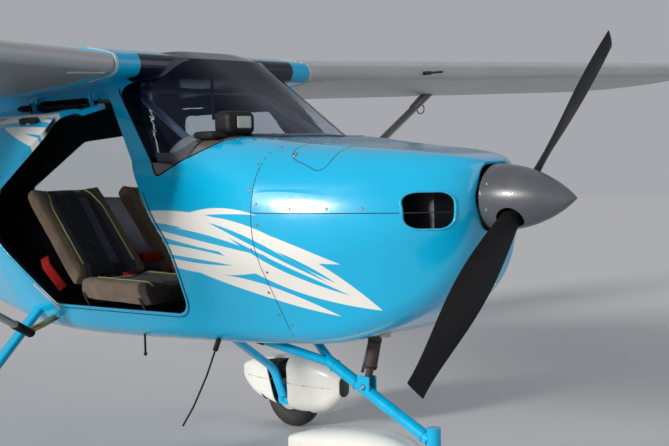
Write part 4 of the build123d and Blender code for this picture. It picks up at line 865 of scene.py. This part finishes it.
# Lift struts: rubber cuffs, foot forks with their bolts, tie-down rings and upper brackets
STRUT_LOW = at(2590, 560, 735)
STRUT_HIGH = at(2638, 2510, 1930)
STRUT_FOOT = at(2600, 402, 792)
RING_REACH = 2.14  # metres up the strut
CUFF_HALF = (0.0375, 0.0205)
for side, word in SIDES:
    low, high, foot = [place * Vector((1, side, 1)) for place in (STRUT_LOW, STRUT_HIGH, STRUT_FOOT)]
    run = (high - low).normalized()
    sweep("strut_cuff_" + word, [low + run * reach for reach in (-0.012, 0.02, 0.05, 0.085)],
          oval_section(*CUFF_HALF, 20), seal_black, "black_plastic")
    sweep("strut_foot_fork_" + word, [foot, foot.lerp(low, 0.5), low + run * 0.01], tape_section(0.044, 0.009),
          gold_plate, "strut_metal")
    screw_heads("strut_foot_bolt_" + word, [(place - AFT * 0.024, -AFT) for place in (low, foot)], LARGE_HEAD)
    top = low + run * RING_REACH
    ring = circle(top + DOWN * 0.045, -AFT, -DOWN, 0.03, 20)
    sweep("tie_ring_" + word, ring, round_section(0.004), screw_steel, "strut_metal", closed=True)
    bracket = [top + run * reach - DOWN * lift for reach, lift in ((-0.1, 0.012), (0, 0.02), (0.07, 0.016))]
    sweep("strut_bracket_" + word, bracket, tape_section(0.05, 0.012), strut_metal, "strut_metal")

# Nose gear: weld beads, shock bolt, damper rod, shock ridges and rubber shoes on the upper prongs
ARM_END = at(668, 0, 419)
WELD_RADIUS = 0.0255
SHOCK_LOW, SHOCK_HIGH = at(990, 0, 588), at(875, 0, 1062)
RIDGE_RADIUS = 0.027
for number, start in enumerate((at(1184, 0, 663), at(1060, 0, 604), at(712, 0, 440))):
    heading = (ARM_END - start).normalized()
    across = heading.orthogonal().normalized()
    bead = circle(start + heading * 0.02, across, heading.cross(across), WELD_RADIUS)
    sweep("weld_%d" % number, bead, round_section(0.0032, 6), tube_paint, "blue_tube", closed=True)
screw_heads("shock_bolt", [(SHOCK_LOW + Vector((0, side * 0.027, 0)), Vector((0, side, 0))) for side, _ in SIDES],
            FITTING_BOLT)
sweep("damper_rod", [at(1032, 20, 640), at(1012, 20, 700), at(968, 20, 830)], round_section(0.007, 12), screw_steel,
      "strut_metal")
shock_run = (SHOCK_HIGH - SHOCK_LOW).normalized()
for number, reach in enumerate((0.09, 0.2, 0.3, 0.392)):
    ring = circle(SHOCK_LOW + shock_run * reach, PORT, shock_run.cross(PORT), RIDGE_RADIUS)
    sweep("shock_ridge_%d" % number, ring, round_section(0.0024, 6), seal_black, "shock_sleeve", closed=True)
for side, word in SIDES:
    sweep("prong_shoe_" + word, [at(1440, side * 137, 752), at(1505, side * 167, 772)], round_section(0.0235, 14),
          seal_black, "black_plastic")

# Spats: a raised joint round each, fastened by small screws
SPATS = (("left", "airframe", "main_spat_left", 1100, 2190, 2890),
         ("right", "airframe", "main_spat_right", -1100, 2190, 2890),
         ("nose", "nose_steering", "nose_spat", 0, 750, 1390))
SPAT_JOINT_Z = 262
for word, body, skin, y, front_end, rear_end in SPATS:
    spat_skin = surface_of(skin)
    for side in (1, -1):
        line = found([onto(spat_skin, at(station, y + side * 300, SPAT_JOINT_Z), Vector((0, -side, 0)))
                      for station in range(front_end, rear_end, 25)])
        line = [hit for hit in line if abs(hit[0].y - y / 1000) > 0.02]
        lay_tape("spat_joint_%s_%d" % (word, side + 1), line, 0.004, 0.0006, pale_dial, "white_spat", body)
        screw_heads("spat_screws_%s_%d" % (word, side + 1), line[2::5], SPAT_SCREW, body=body)

# Wheels: rim bolts
RIM_CIRCLE = 0.05
for word, centre in (("nose_wheel", NOSE_AXLE), ("main_wheel_left", MAIN_AXLE),
                     ("main_wheel_right", MAIN_AXLE * MIRROR)):
    rim = surface_of(word)
    spots = []
    for side in (1, -1):
        for turn in range(0, 360, 60):
            arm = Vector((RIM_CIRCLE * cos(radians(turn)), side * 0.2, RIM_CIRCLE * sin(radians(turn))))
            spots.append(onto(rim, centre + arm, Vector((0, -side, 0))))
    screw_heads("rim_bolts_" + word, found(spots), HUB_SCREW, body=word)

# Spinner screws
SPINNER_BASE = at(303, 0, 1363)
spinner_skin = surface_of("spinner")
spots = []
for turn in range(20, 380, 45):
    arm = Vector((0, cos(radians(turn)), sin(radians(turn))))
    spots.append(onto(spinner_skin, SPINNER_BASE + arm * 0.4, -arm))
screw_heads("spinner_screws", found(spots), HUB_SCREW, body="propeller")

# Seats: padded backs and bases, swelled by a pressure run, with piping laid on afterwards
BACK_LOW, BACK_HIGH = at(2345, 0, 965), at(2752, 0, 1398)
BACK_RUN = (BACK_HIGH - BACK_LOW).normalized()
BACK_OUT = Vector((BACK_RUN.z, 0, -BACK_RUN.x))
WING_FROM, WING_REACH = 0.1, 0.1  # where a pad's raised side starts, off its middle, and how wide its slope is
BACK_WING, BASE_WING = 0.026, 0.024
BASE_TOP_Z = 0.95


def wing_share(place):
    """How far a spot of a pad is up its raised side, from 0 to 1."""
    return min(1, max(0.0, abs(place.y) - WING_FROM) / WING_REACH) ** 2


def back_bend(place):
    """Stands a flat pad up along the seat-back's slope, its sides proud of the middle."""
    out = place.z + BACK_WING * wing_share(place) * (place.z > 0)
    return BACK_LOW + BACK_RUN * place.x + BACK_OUT * out + Vector((0, place.y, 0))


def base_bend(place):
    """Raises the sides of a seat base's top."""
    return place - DOWN * BASE_WING * wing_share(place) * (place.z > BASE_TOP_Z)


PAD_CORNER, PAD_PULL = 0.03, 0.03
PAD_VOXEL = 0.009
PAD_PRESSURE = 4.0
PAD_CAP = 0.011
PAD_FRAMES = 20


def swell(piece):
    """Remesh, a run of pressure with capped travel, then a little smoothing."""
    bpy.context.view_layer.objects.active = piece
    piece.select_set(True)
    remesh = piece.modifiers.new("remesh", "REMESH")
    remesh.mode = "VOXEL"
    remesh.voxel_size = PAD_VOXEL
    bpy.ops.object.modifier_apply(modifier="remesh")
    rest = [vertex.co.copy() for vertex in piece.data.vertices]
    cloth = piece.modifiers.new("swell", "CLOTH")
    cloth.settings.use_pressure = True
    cloth.settings.uniform_pressure_force = PAD_PRESSURE
    cloth.settings.effector_weights.gravity = 0
    cloth.settings.quality = 5
    cloth.point_cache.frame_end = PAD_FRAMES
    for number in range(1, PAD_FRAMES + 1):
        bpy.context.scene.frame_set(number)
    bpy.ops.object.modifier_apply(modifier="swell")
    bpy.context.scene.frame_set(1)
    for vertex, start in zip(piece.data.vertices, rest):
        shift = vertex.co - start
        if shift.length > PAD_CAP:
            vertex.co = start + shift.normalized() * PAD_CAP
    smooth = piece.modifiers.new("smooth", "SMOOTH")
    smooth.iterations = 3
    bpy.ops.object.modifier_apply(modifier="smooth")
    for polygon in piece.data.polygons:
        polygon.use_smooth = True
    piece.select_set(False)


DOOR_ROOM = 0.0075
shut_door_skin = surface_of("door_left")


def inboard(place, room=DOOR_ROOM):
    """The place, moved towards the cabin's middle where a closed door leaves it no room."""
    side = 1 if place.y > 0 else -1
    wall = onto(shut_door_skin, Vector((place.x, 0, place.z)), PORT)
    limit = wall[0].y - room if wall else abs(place.y)
    return Vector((place.x, side * min(abs(place.y), limit), place.z))


def pad(name, low, high, bend, cloth):
    """One swelled pad of the left seat, kept clear of the closed door."""
    verts, faces = soft_block(low, high, PAD_CORNER, PAD_PULL, bend)
    piece = add_piece(name, [vert + Vector((0, SEAT_Y, 0)) for vert in verts], faces, cloth, "seat_cover")
    swell(piece)
    for vertex in piece.data.vertices:
        vertex.co = inboard(vertex.co)
    return piece


def copy_across(piece, name):
    """The same pad on the other side of the cabin."""
    mesh = piece.data.copy()
    for vertex in mesh.vertices:
        vertex.co.y = -vertex.co.y
    mesh.flip_normals()
    twin = bpy.data.objects.new(name, mesh)
    bpy.context.scene.collection.objects.link(twin)
    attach(twin, "airframe")
    return twin


back_left = pad("seat_back_left", Vector((0, -0.205, -0.036)), Vector((0.575, 0.205, 0.03)), back_bend,
                seat_back_cloth)
base_left = pad("seat_base_left", at(2330, -205, 905), at(1826, 205, 982), base_bend, seat_base_cloth)
back_right = copy_across(back_left, "seat_back_right")
base_right = copy_across(base_left, "seat_base_right")
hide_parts("seat_left")
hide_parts("seat_right")

# Piping, straps and red webbing on the seats
INTO_SEAT = (-BACK_OUT + Vector((0, 0, -0.2))).normalized()
KNEE, LAP = at(1850, 0, 1010), at(2300, 0, 1030)
WAIST, SHOULDER = at(2290, 0, 1030), at(2700, 0, 1430)
PIPING_HALF = 142
BACK_PIPING, BASE_PIPING = 0.0045, 0.004
STRAP_WIDTH, STRAP_HEIGHT = 0.045, 0.0035
# Straps and webbing: distance off the cabin's middle with the share up the seat, or a place in millimetres
SHOULDER_ROUTE = ((205, 0.97), (207, 0.9), (212, 0.82), (216, 0.74), (220, 0.66), (222, 0.6), (226, 0.56))
LAP_ROUTE = ((226, 0.43), (250, 0.39), (290, 0.36), (340, 0.35), (395, 0.36))
BUCKLE_Y = 228
CATCHES = ((2392, 22, 1052), (2130, 36, 1022))
WEB_ROUTE = ((2552, 487, 1078), (2530, 492, 1040), (2500, 492, 985), (2475, 480, 935))
WEB_ROOM = 0.014


def on_seat(tree, across, share):
    """Hit on the seat, by distance to port and share of the way from knee to shoulder."""
    place = KNEE.lerp(LAP, share * 2) if share < 0.5 else WAIST.lerp(SHOULDER, share * 2 - 1)
    direction = DOWN if share < 0.45 else INTO_SEAT
    return onto(tree, place + Vector((0, across / 1000, 0)) - direction * 0.2, direction)


for side, word in SIDES:
    seat_tree = tree_of([piece.data for piece in ((back_left, base_left) if side > 0 else (back_right, base_right))])
    middle = side * SEAT_Y * 1000
    for number, edge in enumerate((-1, 1)):
        back_line, base_line = [], []
        for step in range(27):
            share = 0.56 + 0.42 * step / 26
            narrowing = 34 * max(0, share - 0.86) / 0.12
            back_line.append(on_seat(seat_tree, middle + edge * (PIPING_HALF - narrowing), share))
            base_line.append(on_seat(seat_tree, middle + edge * PIPING_HALF, 0.44 * step / 26))
        for part, line, radius in (("back", back_line, BACK_PIPING), ("base", base_line, BASE_PIPING)):
            sweep("%s_piping_%s_%d" % (part, word, number), [place for place, _ in found(line)],
                  round_section(radius), piping_lime, "seat_cover")
    for part, route in (("shoulder", SHOULDER_ROUTE), ("lap", LAP_ROUTE)):
        strap = found([on_seat(seat_tree, side * across, share) for across, share in route])
        lay_tape("%s_strap_%s" % (part, word), strap, STRAP_WIDTH, STRAP_HEIGHT, navy_web, "seat_cover")
    buckle = on_seat(seat_tree, side * BUCKLE_Y, 0.5) or on_seat(seat_tree, side * BUCKLE_Y, 0.44)
    moulding("buckle_" + word, Vector((-0.024, -0.03, -0.004)), Vector((0.024, 0.03, 0.016)), 0.008, 0.1, red_web,
             "black_plastic", buckle[0])
    for number, (station, across, height) in enumerate(CATCHES):
        moulding("belt_catch_%s_%d" % (word, number), Vector((-0.035, -0.02, -0.02)), Vector((0.035, 0.02, 0.022)),
                 0.01, 0.1, red_web, "black_plastic", at(station, side * across, height))
    web = [inboard(at(station, side * across, height), WEB_ROOM) for station, across, height in WEB_ROUTE]
    sweep("red_web_" + word, web, tape_section(0.05, 0.003), red_web, "seat_cover",
          normals=[Vector((0.3, side, 0))] * len(web))

# Cabin: instrument housing on the shelf, dials on the panel, and the hanging strap
moulding("shelf_housing", at(1440, -400, 1614), at(1330, -255, 1712), 0.03, 0.02, dark_plastic, "black_plastic")
moulding("housing_screen", at(1329, -366, 1640), at(1326, -290, 1690), 0.006, 0.02, pale_dial, "panel_grey")
moulding("housing_cloth_pad", at(1480, -470, 1600), at(1360, -250, 1632), 0.014, 0.02, dark_plastic, "black_plastic")
strap = [at(1668, -200, 1860), at(1664, -201, 1800), at(1660, -202, 1740), at(1656, -203, 1686)]
sweep("hanging_strap", strap, tape_section(0.014, 0.003), seal_black, "black_plastic",
      normals=[Vector((1, -0.6, 0))] * len(strap))
BEZEL = ((0.046, 0), (0.046, 0.012), (0.041, 0.016), (0.038, 0.013), (0.037, 0.006))
DIAL = ((0.036, 0.004), (0.036, 0.0075), (0.012, 0.0078), (0.004, 0.0095))
PANEL_FACE = 1562
dial_spots = [(at(PANEL_FACE, across, height), AFT) for across in (-330, -210, -90, 30, 150, 270)
              for height in (1300, 1420)]
add_piece("dial_bezels", *lathe(dial_spots, BEZEL, 24), seal_black, "black_plastic")
add_piece("dial_faces", *lathe(dial_spots, DIAL, 24), pale_dial, "panel_grey")

# Doors: a handle on a steel boss, in the skin's own plane
HANDLE_SPOT = at(1700, 592, 1225)
HANDLE_HALF = Vector((0.06, 0.012, 0.012))
HANDLE_LIFT = 0.008
for side, word in SIDES:
    place = HANDLE_SPOT * Vector((1, side, 1))
    if side < 0:
        hinge = DOOR_HINGE * MIRROR
        place -= hinge
        place.rotate(Matrix.Rotation(-DOOR_OPEN_TURN, 3, "X"))
        place += hinge
    boss, out, _, _ = surface_of("door_" + word).find_nearest(place)
    upright = out.cross(Vector((1, 0, 0))).normalized()
    verts, faces = soft_block(-HANDLE_HALF, HANDLE_HALF, 0.01, 0.05)
    add_piece("door_handle_" + word, [boss + Vector((vert.x, 0, 0)) + upright * vert.z + out * (vert.y + HANDLE_LIFT)
                                      for vert in verts], faces, dark_plastic, "black_plastic", "door_" + word)
    screw_heads("door_handle_boss_" + word, [(boss, out)], DOOR_BOSS, body="door_" + word)

# Tail: hinge bolts
FIN_BOLTS = ((5760, 1500), (5800, 1800), (5830, 2120))
fin_skin = surface_of("fin", "rudder")
for side, word in SIDES:
    bolts = [onto(fin_skin, at(station, side * 300, height), Vector((0, -side, 0)))
             for station, height in FIN_BOLTS]
    screw_heads("fin_bolts_" + word, found(bolts), PANEL_SCREW)

# Floor, studio light and camera
SKY_COLOUR, SKY_STRENGTH = (0.9, 0.93, 1.0), 0.42
FLOOR_SIZE, FLOOR_GREY = 60, (0.62, 0.62, 0.63)
KEY_ENERGY, KEY_COLOUR, KEY_HEADING = 3.3, (1.0, 0.96, 0.9), (1.5, 9.0, -2.3)
FILL_ENERGY, FILL_PLACE, FILL_HEADING = 120, (9.0, 4.0, 5.0), (-7.5, -4.0, -3.8)
CAMERA_PLACE, CAMERA_LENS = (5.25263, -3.47877, 1.53023), 62.91
world = bpy.data.worlds.new("studio")
bpy.context.scene.world = world
world.use_nodes = True
world.node_tree.nodes["Background"].inputs["Color"].default_value = (*SKY_COLOUR, 1)
world.node_tree.nodes["Background"].inputs["Strength"].default_value = SKY_STRENGTH

bpy.ops.mesh.primitive_plane_add(size=FLOOR_SIZE)
floor = bpy.context.object
floor.name = "studio_floor"
floor_material, _, floor_bsdf = new_material("studio_floor")
floor_bsdf.inputs["Base Color"].default_value = (*FLOOR_GREY, 1)
floor_bsdf.inputs["Roughness"].default_value = 0.9
floor.data.materials.append(floor_material)


def add_lamp(name, kind, energy, heading, place=(0, 0, 0)):
    light = bpy.data.lights.new(name, kind)
    light.energy = energy
    lamp = bpy.data.objects.new(name, light)
    bpy.context.scene.collection.objects.link(lamp)
    lamp.location = place
    lamp.rotation_euler = Vector(heading).to_track_quat("-Z", "Y").to_euler()
    return light


sun = add_lamp("key", "SUN", KEY_ENERGY, KEY_HEADING)
sun.angle = radians(9)
sun.color = KEY_COLOUR
fill = add_lamp("fill", "AREA", FILL_ENERGY, FILL_HEADING, FILL_PLACE)
fill.size = 6.0

camera = bpy.data.objects.new("camera", bpy.data.cameras.new("camera"))
bpy.context.scene.collection.objects.link(camera)
bpy.context.scene.camera = camera
camera.data.sensor_width = 36.0
camera.data.lens = CAMERA_LENS
right = Vector((0.725606, 0.687801, -0.020655))
upward = Vector((-0.025507, 0.056881, 0.998055))
forward = Vector((-0.687638, 0.723668, -0.058817))
camera.matrix_world = Matrix.Translation(CAMERA_PLACE) @ Matrix(
    (right, upward, -forward)).transposed().to_4x4()
bpy.context.scene.view_settings.view_transform = "Standard"
